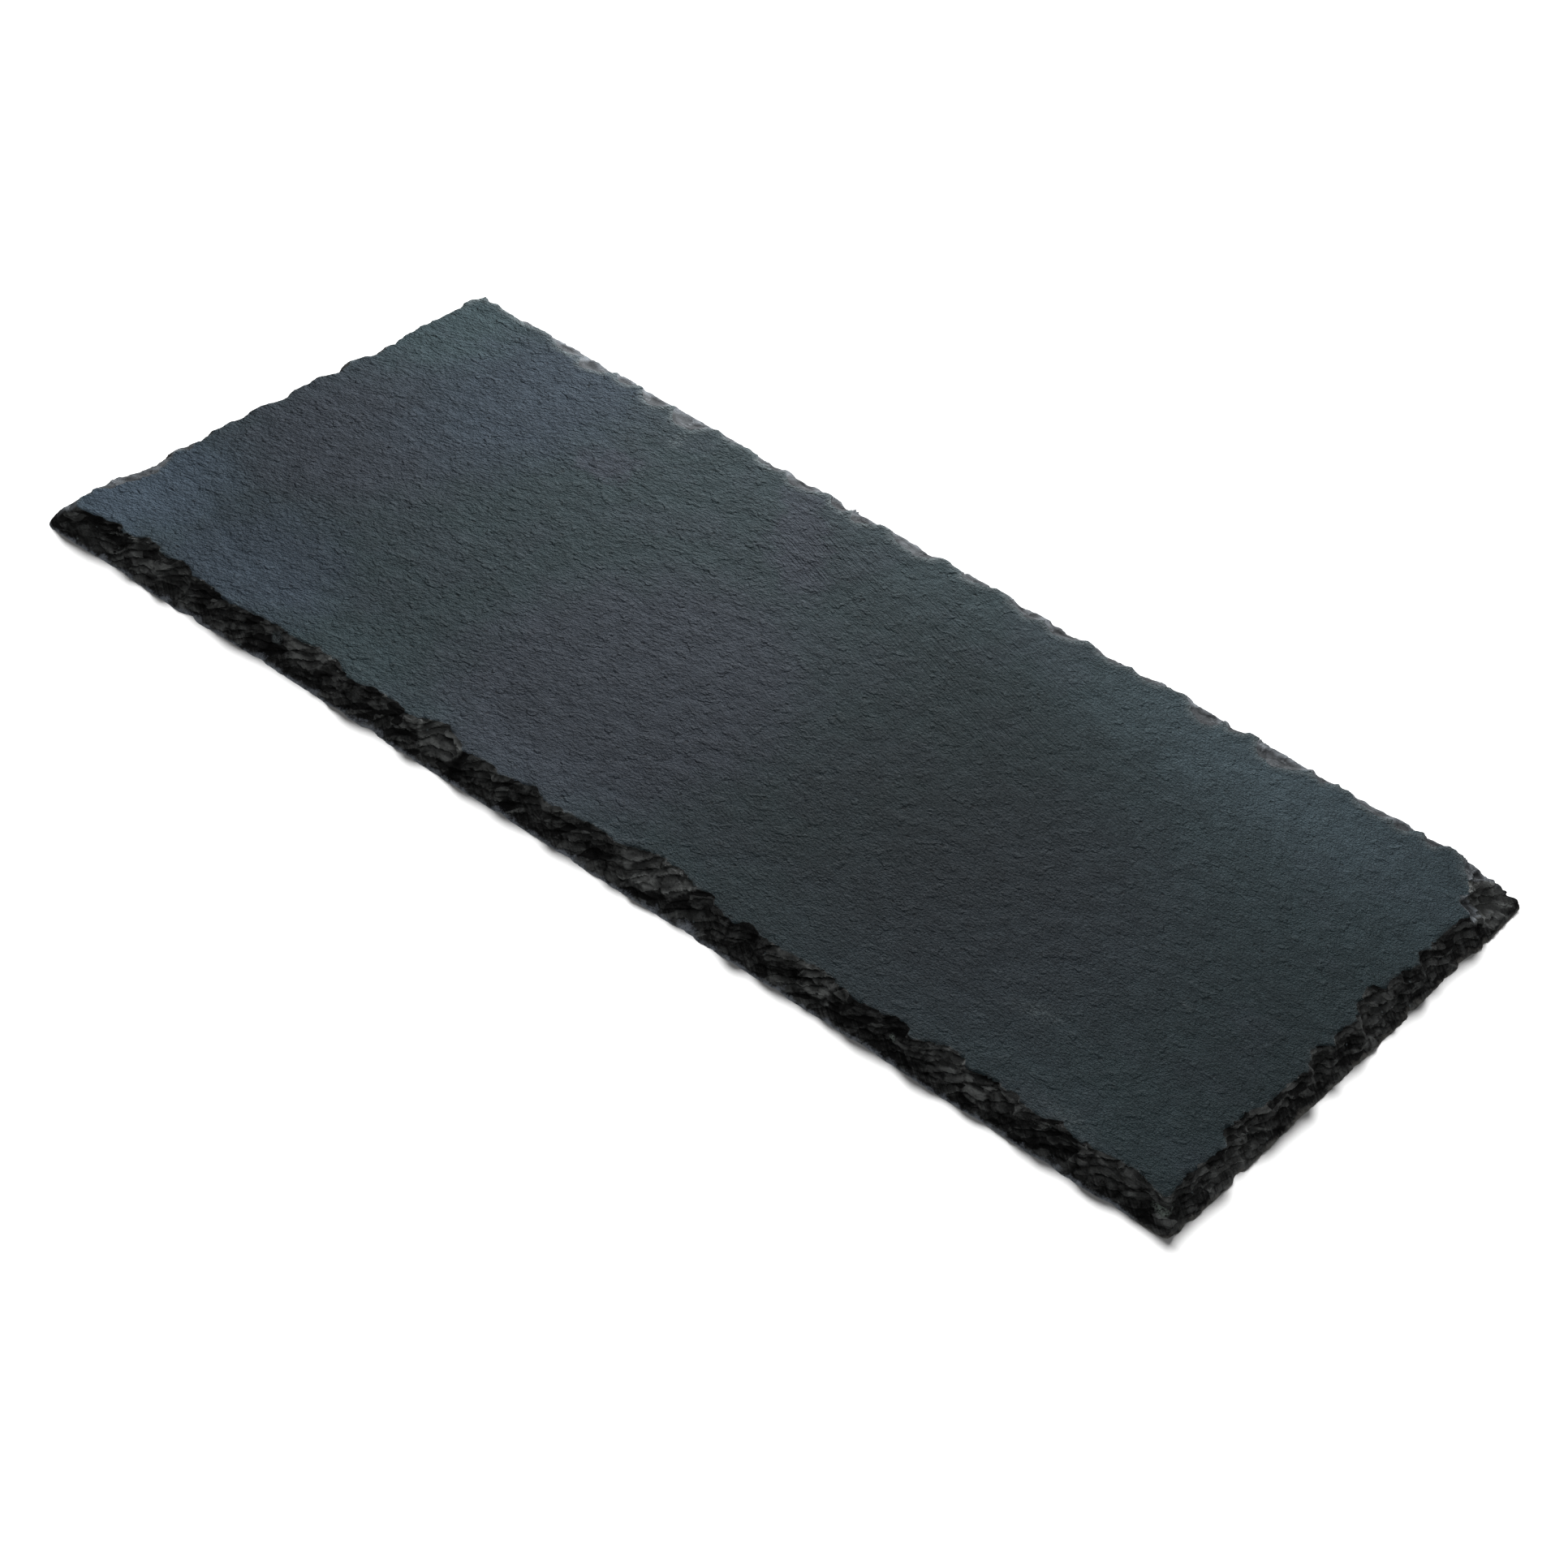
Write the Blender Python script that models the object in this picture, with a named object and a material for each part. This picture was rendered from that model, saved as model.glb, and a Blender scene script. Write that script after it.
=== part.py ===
"""A rectangular slab of riven slate whose edge is dressed by hand, so it is chipped all round.

It lies flat: the underside is the plane z = 0, the long sides run along X, and the origin is
the middle of the underside. Tables and functions are in millimetres, and MM makes metres of them.
"""

import math
from collections import namedtuple
from itertools import product

import bmesh
import bpy
import numpy as np
from mathutils.geometry import delaunay_2d_cdt

MM = 0.001

# The block before its edge is dressed.
LENGTH = 400.0
WIDTH = 200.0
THICKNESS = 9.0
CORNER_RADIUS = 4.0

# The dressed edge leans in from the underside to the upper face by this much on each side.
LEAN = {"near": 3.2, "right": 4.4, "far": 7.2, "left": 4.8}
LEAN_CURVE = 1.5  # above 1, the edge is steep at the foot and rounds over at the top

# The upper face is split along the bedding, so it rises and dips a little.
SWELL_HEIGHT = 0.45
SWELL_SIZE = 95.0
RIPPLE_SHARE = 0.25  # the part of that height that is in ripples
RIPPLE_SIZE = 24.0

# The dressed edge wanders along each side, and is rough all over.
WANDER = 0.9
WANDER_SIZE = 24.0
ROUGHNESS = 0.2
ROUGHNESS_SIZE = 6.5
FOOT_BITE = 0.6  # the most that a chip takes off the outline of the underside
LEAST_BITE = 0.4
MOST_TURN = 2.5  # a shallow chip can't be turned as far as a deep one
DISH_LENGTH = 16.0  # the most of a chip's face that is dished
CORNER_BLEND = 10.0  # the width over which one side's lean becomes the next one's

# What each pattern of bumps is drawn from.
SWELL_SEED = 11
RIPPLE_SEED = 12
ROUGHNESS_SEED = 21
WANDER_SEED = 31

# The table of random values behind the bumps, and the primes that spread its cells.
NOISE_TABLE = 4096
NOISE_PRIMES = (1619, 31337, 6971)

# Mesh fineness.
EDGE_STEP = 2.45
CORNER_STEPS = 11
EDGE_RINGS = 7
FACE_STEP = 9.0
FACE_MARGIN = 3.0
UNDERSIDE_STEP = 44.0
UNDERSIDE_MARGIN = 17.0
CLEAR_OF_LOOP = 0.6  # as a share of the step
SAME_POINT = 1e-6

# How the edge is traced: rays fan out from a line this far inside the sides. A chip is tried on
# the rays that pass within its width and a margin of its middle.
SHOULDER = 21.0
CHIP_MARGIN = 12.0
RAY_START = 3.0
RAY_END = 33.0
RAY_STEP = 0.4

# side: (outward direction in plan, distance of the side from the middle)
SIDES = {
    "near": ((0, -1), WIDTH / 2),
    "right": ((1, 0), LENGTH / 2),
    "far": ((0, 1), WIDTH / 2),
    "left": ((-1, 0), LENGTH / 2),
}
CORNERS = {"near right": (1, -1), "far right": (1, 1), "far left": (-1, 1), "near left": (-1, -1)}

# One struck chip. at: its middle along the side, in X or Y. width: across its rim on the upper
# face. reach: how far in from the side that rim comes. slope: of the chip's face, in degrees from
# level. hollow: how dished it is. turn: degrees that it is struck off square. floor: the height of
# the bedding plane that it stops at, which is left as a ledge. top: the height of its rim.
Chip = namedtuple("Chip", "side at width reach slope hollow turn floor top", defaults=(0, 0, THICKNESS))

NEAR_CHIPS = [
    Chip("near", -182, 25, 5.8, 58, 0.5, 10),
    Chip("near", -162, 11, 8.2, 40, 0.4, -20, 4.5),
    Chip("near", -150, 13, 8.0, 48, 0.5, -15),
    Chip("near", -140, 15, 5.6, 60, 0.6),
    Chip("near", -118, 25, 6.2, 66, 1.0, 12),
    Chip("near", -103, 22, 8.6, 38, 0.4, 15, 4.8),
    Chip("near", -91, 12, 6.9, 55, 0.5, -15),
    Chip("near", -74, 21, 6.3, 62, 0.7, 8),
    Chip("near", -51, 18, 9.0, 36, 0.3, -12, 5.2),
    Chip("near", -35, 8, 6.0, 50, 0.4, 20, 5.0),
    Chip("near", -24, 13, 5.7, 60, 0.5),
    Chip("near", -15, 9, 7.6, 52, 0.4, -25, 3.4),
    Chip("near", 0, 21, 6.6, 64, 1.0, 8),
    Chip("near", 25, 27, 9.5, 30, 0.3, 10, 5.8),
    Chip("near", 43, 18, 7.6, 63, 0.9, -15),
    Chip("near", 60, 9, 7.1, 55, 0.5, -20, 4.0),
    Chip("near", 72, 14, 6.2, 58, 0.5, 10),
    Chip("near", 82, 13, 7.2, 37, 0.3, -12, 5.6),
    Chip("near", 101, 18, 5.1, 64, 0.6, 10),
    Chip("near", 125, 12, 7.4, 35, 0.3, -18, 5.5),
    Chip("near", 134, 11, 5.6, 34, 0.3, 0, 6.0),
    Chip("near", 144, 13, 6.7, 37, 0.4, -15, 4.6),
    Chip("near", 162, 14, 6.2, 60, 0.5, -18),
    Chip("near", 180, 23, 5.5, 36, 0.4, 15, 5.4),
]
RIGHT_CHIPS = [
    Chip("right", -90, 14, 6.2, 60, 0.5, 12),
    Chip("right", -76, 18, 5.9, 62, 0.6, 0, 3.6),
    Chip("right", -64, 10, 8.5, 50, 0.4, 22),
    Chip("right", -51, 13, 7.6, 55, 0.5, -14, 4.4),
    Chip("right", -34, 19, 5.8, 62, 0.7, 10),
    Chip("right", -18, 12, 7.6, 50, 0.5, 18, 3.8),
    Chip("right", -2, 11, 6.2, 58, 0.5),
    Chip("right", 14, 21, 9.6, 46, 0.5, 14, 4.6),
    Chip("right", 29, 14, 7.4, 55, 0.5, -10),
    Chip("right", 48, 12, 8.6, 52, 0.5, -20, 4.2),
    Chip("right", 62, 17, 6.8, 60, 0.6, 8),
    Chip("right", 73, 9, 10.5, 30, 0.1, 10, 8.0),
    Chip("right", 87, 21, 13.5, 36, 1.2, -6, 3.0),
]
FAR_CHIPS = [
    Chip("far", -178, 20, 9.0, 34, 0.3, 8, 7.4),
    Chip("far", -160, 16, 11.0, 24, 0.3, 15, 7.3),
    Chip("far", -143, 14, 14.0, 20, 0.2, -10, 7.4),
    Chip("far", -133, 9, 12.0, 24, 0.2, 0, 7.8),
    Chip("far", -123, 13, 13.0, 20, 0.2, 14, 7.2),
    Chip("far", -103, 15, 15.0, 17, 0.2, -12, 7.4),
    Chip("far", -89, 12, 9.6, 34, 0.3, 0, 7.6),
    Chip("far", -76, 11, 11.6, 24, 0.3, 12, 7.5),
    Chip("far", -60, 16, 12.0, 22, 0.2, -8, 7.2),
    Chip("far", -48, 10, 11.5, 26, 0.2, 10, 7.7),
    Chip("far", -35, 9, 13.0, 22, 0.2, -12, 7.5),
    Chip("far", -19, 20, 14.0, 18, 0.2, 10, 7.2),
    Chip("far", 6, 15, 10.6, 28, 0.3, -10, 7.6),
    Chip("far", 22, 15, 12.2, 22, 0.2, 12, 7.3),
    Chip("far", 39, 15, 12.6, 22, 0.2, -8, 7.5),
    Chip("far", 54, 14, 11.6, 25, 0.3, 10, 7.4),
    Chip("far", 69, 14, 10.6, 28, 0.3, 0, 7.7),
    Chip("far", 87, 14, 14.6, 17, 0.2, 14, 7.3),
    Chip("far", 100, 8, 10.6, 28, 0.2, 0, 7.8),
    Chip("far", 120, 17, 16.0, 16, 0.2, -16, 7.2),
    Chip("far", 131, 10, 11.2, 26, 0.2, 0, 7.7),
    Chip("far", 147, 17, 12.2, 22, 0.3, 10, 7.3),
    Chip("far", 161, 9, 12.6, 22, 0.2, -12, 7.6),
    Chip("far", 169, 8, 11.0, 26, 0.2, 0, 7.8),
    Chip("far", 183, 11, 14.0, 20, 0.2, 10, 7.4),
]
LEFT_CHIPS = [
    Chip("left", 92, 13, 6.3, 60, 0.5, 8),
    Chip("left", 73, 13, 5.9, 62, 0.5, 0, 3.8),
    Chip("left", 48, 15, 7.0, 60, 0.5, -12),
    Chip("left", 34, 10, 5.8, 58, 0.4, 0, 4.4),
    Chip("left", 20, 15, 7.1, 60, 0.5, 12),
    Chip("left", -3, 13, 7.4, 60, 0.5, -10, 4.0),
    Chip("left", -22, 14, 5.8, 62, 0.5),
    Chip("left", -40, 13, 6.8, 58, 0.5, 10, 3.4),
    Chip("left", -46, 12, 10.0, 22, 0.1, -8, 8.0),
    Chip("left", -60, 20, 7.4, 60, 0.6, 8),
    Chip("left", -69, 34, 11.5, 18, 0.2, 4, 7.7),
]
# at a corner, at is measured across the diagonal and reach along it
CORNER_CHIPS = [
    Chip("near left", 0, 17, 5.6, 84, 0.2, 6),
    Chip("near left", 0, 30, 10.6, 76, 0.3, -8, 3.8),
    Chip("near right", 1, 16, 6.4, 72, 0.4, 8),
    Chip("far right", 0, 22, 8.5, 55, 0.5),
    Chip("far left", 0, 16, 8.6, 60, 0.3),
]

LARGE_CHIPS = NEAR_CHIPS + RIGHT_CHIPS + FAR_CHIPS + LEFT_CHIPS + CORNER_CHIPS

# Smaller flakes between the chips above, drawn at random. Each pair is a lowest and a highest.
FLAKE_SEED = 7
FLAKE_SPACING = (6.0, 13.0)
FLAKE_WIDTH = (5.0, 13.0)
FLAKE_BITE = (0.3, 1.5)  # how far it cuts in past the dressed edge
FLAKE_SLOPE = (48, 76)
FLAKE_HOLLOW = (0.1, 0.5)
FLAKE_TURN = (-28, 28)
FLAKE_LEDGE = (1.5, 8.0)  # how far below its rim it stops at a ledge
LOW_FLAKE_TOP = (2.8, 7.0)  # rim heights of the flakes on the lower half of the edge


def noise(x, y, z, size, seed):
    """Smooth noise from -1 to 1, with bumps about `size` millimetres across."""
    table = np.random.default_rng(seed).uniform(-1, 1, NOISE_TABLE)
    cells = []
    shares = []
    for coordinate in (x, y, z):
        cell = np.floor(coordinate / size)
        share = coordinate / size - cell
        cells.append(cell.astype(np.int64))
        shares.append(share * share * (3 - 2 * share))
    total = 0
    for corner in product((0, 1), repeat=3):
        place = 0
        weight = 1
        for cell, share, step, prime in zip(cells, shares, corner, NOISE_PRIMES):
            place = place + (cell + step) * prime
            weight = weight * (share if step else 1 - share)
        total = total + weight * table[(place ^ (place >> 7)) % NOISE_TABLE]
    return total


def face_height(x, y):
    """Height of the upper face, before any chip."""
    dip = 0.5 + 0.5 * noise(x, y, 0 * x, SWELL_SIZE, SWELL_SEED)
    ripple = 0.5 + 0.5 * noise(x, y, 0 * x, RIPPLE_SIZE, RIPPLE_SEED)
    return THICKNESS - SWELL_HEIGHT * ((1 - RIPPLE_SHARE) * dip + RIPPLE_SHARE * ripple)


def scattered_flakes():
    rng = np.random.default_rng(FLAKE_SEED)
    flakes = []
    for side, (outward, _) in SIDES.items():
        half = (WIDTH if outward[0] else LENGTH) / 2
        for low in (False, True):
            at = -half
            while at < half:
                top = rng.uniform(*LOW_FLAKE_TOP) if low else THICKNESS
                lean = LEAN[side] * (top / THICKNESS) ** LEAN_CURVE
                reach = lean + rng.uniform(*FLAKE_BITE)
                width, slope, hollow, turn, ledge = (
                    rng.uniform(*pair)
                    for pair in (FLAKE_WIDTH, FLAKE_SLOPE, FLAKE_HOLLOW, FLAKE_TURN, FLAKE_LEDGE)
                )
                flakes.append(Chip(side, at, width, reach, slope, hollow, turn, top - ledge, top))
                at += rng.uniform(*FLAKE_SPACING)
    return flakes


def chip_bite(chip):
    """How far the chip cuts in past the dressed edge at its rim."""
    if chip.side in CORNERS:
        return chip.reach
    lean = LEAN[chip.side] * (min(chip.top, THICKNESS) / THICKNESS) ** LEAN_CURVE
    return max(chip.reach - lean, LEAST_BITE)


def chip_frame(chip):
    """A point on the side below the middle of the chip, its inward direction, and its true reach.

    A turned chip is moved along and drawn back, so that its deepest point keeps its place.
    """
    if chip.side in CORNERS:
        signs = np.array(CORNERS[chip.side])
        outward = signs / math.sqrt(2)
        across = np.array([-outward[1], outward[0]])
        middle = signs * (LENGTH / 2, WIDTH / 2)
    else:
        outward = np.array(SIDES[chip.side][0], float)
        across = np.abs(outward[::-1])
        middle = outward * SIDES[chip.side][1]
    bite = chip_bite(chip)
    turn = np.clip(math.tan(math.radians(chip.turn)), -1, 1)
    turn = np.clip(turn, -MOST_TURN * bite / chip.width, MOST_TURN * bite / chip.width)
    place = middle + (chip.at + chip.width**2 * turn / (8 * bite)) * across
    inward = (across * turn - outward) / math.hypot(1, turn)
    return place, inward, chip.reach - (chip.width * turn) ** 2 / (16 * bite)


def outside_chip(chip, x, y, z):
    """Above 0 where the chip has taken the stone away, in millimetres from its face."""
    place, inward, reach = chip_frame(chip)
    inset = (x - place[0]) * inward[0] + (y - place[1]) * inward[1]
    sideways = (x - place[0]) * inward[1] - (y - place[1]) * inward[0]
    steepest = math.atan2(chip.top, reach - FOOT_BITE)
    slope = min(math.radians(chip.slope), steepest)
    lean_out = math.sin(slope)
    lean_up = math.cos(slope)
    beyond = reach - inset
    drop = chip.top - z
    depth = lean_out * beyond - lean_up * drop
    down_face = lean_up * beyond + lean_out * drop
    face_length = min(chip.top / lean_out, DISH_LENGTH)
    dish = 1 - (2 * down_face / face_length - 1) ** 2
    spread = lean_out * chip_bite(chip) * (2 * sideways / chip.width) ** 2
    return np.minimum(depth + chip.hollow * np.maximum(dish, 0) - spread, z - chip.floor)


def outside_dressed_edge(x, y, z):
    """Above 0 outside the block and its leaning edge, in millimetres."""
    across = np.abs(x) - (LENGTH / 2 - CORNER_RADIUS)
    along = np.abs(y) - (WIDTH / 2 - CORNER_RADIUS)
    distance = np.hypot(np.maximum(across, 0), np.maximum(along, 0)) + np.minimum(
        np.maximum(across, along), 0
    )
    weight_x = np.clip((across - along) / CORNER_BLEND + 0.5, 0, 1)
    lean_x = np.where(x > 0, LEAN["right"], LEAN["left"])
    lean_y = np.where(y > 0, LEAN["far"], LEAN["near"])
    lean = weight_x * lean_x + (1 - weight_x) * lean_y
    rise = np.clip(z / THICKNESS, 0, 1) ** LEAN_CURVE
    wander = WANDER * (0.5 + 0.5 * noise(x, y, 0 * z, WANDER_SIZE, WANDER_SEED))
    return distance - CORNER_RADIUS + lean * rise + wander


class EdgeStations:
    """Points all round the slab, seen from above anticlockwise, each with a ray going outwards."""

    def __init__(self, step, corner_steps):
        inner = np.array([LENGTH / 2 - SHOULDER, WIDTH / 2 - SHOULDER])
        starts = []
        headings = []
        turning = list(CORNERS.values())
        for quarter, signs in enumerate(turning):
            heading = math.radians(90 * quarter - 90)
            before = inner * turning[quarter - 1]
            corner = inner * signs
            count = round(np.hypot(*(corner - before)) / step)
            for i in range(count):
                starts.append(before + (corner - before) * i / count)
                headings.append(heading)
            for i in range(corner_steps):
                starts.append(corner)
                headings.append(heading + math.radians(90) * i / corner_steps)
        self.start = np.array(starts)
        self.outward = np.stack([np.cos(headings), np.sin(headings)], axis=1)
        self.count = len(starts)
        self.rim = self.start + SHOULDER * self.outward / np.abs(self.outward).max(axis=1)[:, None]
        self.chips = []
        for chip in LARGE_CHIPS + scattered_flakes():
            away = np.hypot(*(self.rim - chip_frame(chip)[0]).T)
            self.chips.append((chip, np.flatnonzero(away < chip.width + CHIP_MARGIN)))

    def outside(self, x, y, z):
        """Above 0 in the air. Each row of x, y and z belongs to one station."""
        found = outside_dressed_edge(x, y, z)
        for chip, rows in self.chips:
            found[rows] = np.maximum(found[rows], outside_chip(chip, x[rows], y[rows], z[rows]))
        return found + ROUGHNESS * (1 + noise(x, y, z, ROUGHNESS_SIZE, ROUGHNESS_SEED))

    def surface(self, height, rise):
        """Where each station's ray leaves the stone. It starts at height and climbs at rise radians."""
        distance = np.arange(RAY_START, RAY_END, RAY_STEP)
        x = self.start[:, :1] + self.outward[:, :1] * np.cos(rise)[:, None] * distance
        y = self.start[:, 1:] + self.outward[:, 1:] * np.cos(rise)[:, None] * distance
        z = height[:, None] + np.sin(rise)[:, None] * distance
        found = self.outside(x, y, z)
        after = np.maximum(np.argmax(found > 0, axis=1), 1)
        rows = np.arange(self.count)
        low = found[rows, after - 1]
        high = found[rows, after]
        share = np.clip(low / (low - high), 0, 1)
        points = np.stack([x, y, z], axis=2)
        return points[rows, after - 1] * (1 - share)[:, None] + points[rows, after] * share[:, None]


def edge_rings(stations, rings):
    """Rings of points up the edge, from the foot on the underside to the rim of the upper face."""
    start = stations.start
    rim = stations.surface(face_height(start[:, 0], start[:, 1]), np.zeros(stations.count))
    rim[:, 2] = face_height(rim[:, 0], rim[:, 1])
    steepest = np.arctan2(rim[:, 2], np.hypot(*(rim[:, :2] - start).T))
    ground = np.zeros(stations.count)
    below = [stations.surface(ground, steepest * ring / rings) for ring in range(rings)]
    return below + [rim]


def inner_points(loop, step, margin):
    """A staggered grid of points, as far inside the sides as margin and clear of the loop."""
    points = []
    for row, y in enumerate(np.arange(-WIDTH / 2, WIDTH / 2, step * math.sqrt(3) / 2)):
        for x in np.arange(-LENGTH / 2, LENGTH / 2, step) + (row % 2) * step / 2:
            inside = abs(x) < LENGTH / 2 - margin and abs(y) < WIDTH / 2 - margin
            if inside and np.hypot(*(loop - (x, y)).T).min() > step * CLEAR_OF_LOOP:
                points.append((x, y))
    return np.array(points)


def filled(loop, inside):
    """Triangles over a loop and the points inside it, as indices into the loop and then the points."""
    plan = [tuple(point) for point in np.concatenate([loop, inside])]
    outline = [list(range(len(loop)))]
    triangles_inside = 1
    result = delaunay_2d_cdt(plan, [], outline, triangles_inside, SAME_POINT)
    triangles, origins = result[2], result[3]
    return [[origins[corner][0] for corner in triangle] for triangle in triangles]


def slab_mesh():
    stations = EdgeStations(EDGE_STEP, CORNER_STEPS)
    rings = edge_rings(stations, EDGE_RINGS)
    upper_inside = inner_points(rings[-1][:, :2], FACE_STEP, FACE_MARGIN)
    under_inside = inner_points(rings[0][:, :2], UNDERSIDE_STEP, UNDERSIDE_MARGIN)
    mesh = bmesh.new()
    ring_verts = [[mesh.verts.new(point * MM) for point in ring] for ring in rings]
    for lower, upper in zip(ring_verts, ring_verts[1:]):
        for i in range(stations.count):
            after = (i + 1) % stations.count
            mesh.faces.new((lower[i], lower[after], upper[after], upper[i]))
    bmesh.ops.triangulate(mesh, faces=mesh.faces[:], quad_method="SHORT_EDGE")
    heights = face_height(upper_inside[:, 0], upper_inside[:, 1])
    upper = [mesh.verts.new((x * MM, y * MM, z * MM)) for (x, y), z in zip(upper_inside, heights)]
    under = [mesh.verts.new((x * MM, y * MM, 0)) for x, y in under_inside]
    for triangle in filled(rings[-1][:, :2], upper_inside):
        mesh.faces.new([(ring_verts[-1] + upper)[corner] for corner in triangle])
    for triangle in filled(rings[0][:, :2], under_inside):
        mesh.faces.new([(ring_verts[0] + under)[corner] for corner in reversed(triangle)])
    data = bpy.data.meshes.new("slab")
    mesh.to_mesh(data)
    mesh.free()
    return data


def slate_material():
    material = bpy.data.materials.new("slate")
    material.use_nodes = True
    shader = material.node_tree.nodes["Principled BSDF"]
    shader.inputs["Base Color"].default_value = (0.052, 0.062, 0.070, 1)
    shader.inputs["Roughness"].default_value = 0.72
    shader.inputs["Metallic"].default_value = 0
    material.diffuse_color = (0.052, 0.062, 0.070, 1)
    return material


def main():
    for item in list(bpy.data.objects):
        bpy.data.objects.remove(item)
    data = slab_mesh()
    data.materials.append(slate_material())
    data.shade_smooth()
    data.set_sharp_from_angle(angle=math.radians(22))
    bpy.context.scene.collection.objects.link(bpy.data.objects.new("slab", data))


main()
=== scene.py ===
import math
from collections import namedtuple
from functools import cache, reduce
from itertools import product

import bpy
import numpy as np
from mathutils import Matrix, Vector
from mathutils.geometry import delaunay_2d_cdt


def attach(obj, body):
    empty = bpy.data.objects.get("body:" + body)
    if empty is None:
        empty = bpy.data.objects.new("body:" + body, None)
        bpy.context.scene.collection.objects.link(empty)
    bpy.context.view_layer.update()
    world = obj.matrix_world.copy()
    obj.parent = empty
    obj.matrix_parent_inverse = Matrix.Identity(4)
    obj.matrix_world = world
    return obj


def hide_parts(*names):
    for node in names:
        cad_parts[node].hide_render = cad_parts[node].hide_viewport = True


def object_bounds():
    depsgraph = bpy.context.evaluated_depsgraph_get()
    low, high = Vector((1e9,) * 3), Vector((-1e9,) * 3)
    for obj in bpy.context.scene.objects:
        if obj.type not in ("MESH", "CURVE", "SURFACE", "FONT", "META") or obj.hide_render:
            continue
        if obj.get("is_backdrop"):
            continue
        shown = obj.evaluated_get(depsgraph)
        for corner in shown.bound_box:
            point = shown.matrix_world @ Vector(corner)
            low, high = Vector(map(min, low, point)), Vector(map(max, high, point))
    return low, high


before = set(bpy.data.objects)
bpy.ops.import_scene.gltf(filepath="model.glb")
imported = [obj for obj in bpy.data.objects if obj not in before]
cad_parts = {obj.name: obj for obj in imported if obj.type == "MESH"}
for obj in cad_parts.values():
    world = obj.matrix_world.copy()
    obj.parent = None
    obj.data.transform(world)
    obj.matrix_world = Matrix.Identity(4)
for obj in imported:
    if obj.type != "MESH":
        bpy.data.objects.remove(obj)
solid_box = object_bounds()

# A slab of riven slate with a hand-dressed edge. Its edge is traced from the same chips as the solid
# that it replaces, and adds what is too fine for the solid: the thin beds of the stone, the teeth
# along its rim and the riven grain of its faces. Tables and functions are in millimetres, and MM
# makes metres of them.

MM = 0.001

# -------- the block, as in the solid

LENGTH = 400.0
WIDTH = 200.0
THICKNESS = 9.0
CORNER_RADIUS = 4.0

# The dressed edge leans in from the underside to the upper face by this much on each side.
LEAN = {"near": 3.2, "right": 4.4, "far": 7.2, "left": 4.8}
LEAN_CURVE = 1.5  # above 1, the edge is steep at the foot and rounds over at the top

# Bumps are given by their height, their size across and a seed. The upper face is split along the
# bedding, so it rises and dips a little. The dressed edge wanders along each side, and is rough.
SWELL = (0.3375, 95.0, 11)
RIPPLE = (0.1125, 24.0, 12)
WANDER = (0.9, 24.0, 31)
ROUGHNESS = (0.4, 6.5, 21)
FOOT_BITE = 0.6  # the most that a chip takes off the outline of the underside
LEAST_BITE = 0.4
MOST_TURN = 2.5  # a shallow chip can't be turned as far as a deep one
DISH_LENGTH = 16.0  # the most of a chip's face that is dished
CORNER_BLEND = 10.0  # the width over which one side's lean becomes the next one's

# The table of random values behind the bumps, and the primes that spread its cells.
NOISE_TABLE = 4096
NOISE_PRIMES = (1619, 31337, 6971)

# -------- what only this model has

# The stone's beds wave a little, and what is cut follows them.
BED_WAVE = (0.45, 17.0, 51)

# The edge is broken into shards, flat along the beds: (how deep they break back, size along the
# three axes, tilt of their faces, seed), the large ones first.
SHARDS = [
    (1.5, (10.5, 10.5, 3.1), 1.2, 52),
    (0.5, (3.4, 3.4, 1.3), 1.0, 53),
]
FOOT_SHARE = 0.15  # the part of that depth which is left at the foot
FOOT_HEIGHT = 2.5
SHARD_VALUES = 8  # the random numbers of each shard: its middle, its lean, its loss and its tone
SHARD_SPREAD = 0.6  # the part of its cell in which a shard's middle lies

# The broken stone parts in thin layers, which dip across the slab by this much for each millimetre
# in X and Y. Each layer's foot stands out over the top of the one below.
LAYER_DIP = (-0.38, 0.24)
LAYER_PITCH = 2.6
LAYER_LEDGE = 0.65
LAYER_BEND = (2.2, 6.0, 54)

# The shallow scars along the far side and the left side are much smoother than the other breaks.
FAR_CALM = 0.75  # the part of the fine losses which the far side is spared
FAR_FROM = 76.0  # in Y
FAR_END = 186.0  # in X, short of the far right corner
LEFT_CALM = 0.65
LEFT_FROM = 178.0  # in -X
LEFT_END = -104.0  # in Y, past the near left corner
CALM_OVER = 7.0

# The far side leans in less than in the solid: its rim is this much farther out, by X.
FAR_OUT = (0.8, 2.0)
FAR_OUT_OVER = (-40.0, 60.0)
FAR_STAYS = 60.0  # in Y
FAR_MOVES = 85.0

CRACK_WIDTH = 0.32  # how near to each other two cuts are where a crack line shows between them
RELIEF_SPAN = (5, 3)  # the stations and rings on each side over which relief is measured
RELIEF_FULL = 0.5

# The outline of each chip is ragged, and so is the rim of the upper face.
RAGGED = (0.55, 3.0, 61), (0.55, 3.0, 62)  # in X and in Y
TOOTH = (0.75, 1.5, 63)
TOOTH_DEPTH = 1.2  # how far below the upper face the teeth run out

# Slanting scores left by the dressing tool on the lower part of the edge.
SCORE = (0.22, 1.15, 71)
SCORE_SLANT = 0.75
SCORE_TOP = 4.2
SCORE_FADE = 1.8

# Fine roughness of the broken stone.
HACKLE = (0.22, 1.5, 22)

# Mesh fineness.
EDGE_STEP = 0.7
CORNER_STEPS = 36
EDGE_RINGS = 28
FACE_STEP = (1.8, 1.12)  # along and across the slab
FACE_MARGIN = 3.0
UNDERSIDE_STEP = (4.6, 4.0)
UNDERSIDE_MARGIN = 3.0
CLEAR_OF_LOOP = 0.55  # as a share of the step along the slab
SAME_POINT = 1e-6
RIM_BAND = 2.2  # the riven grain fades over this width towards a rim
RIM_SHARE = 0.3  # the share of the grain that is left at the rim

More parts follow.
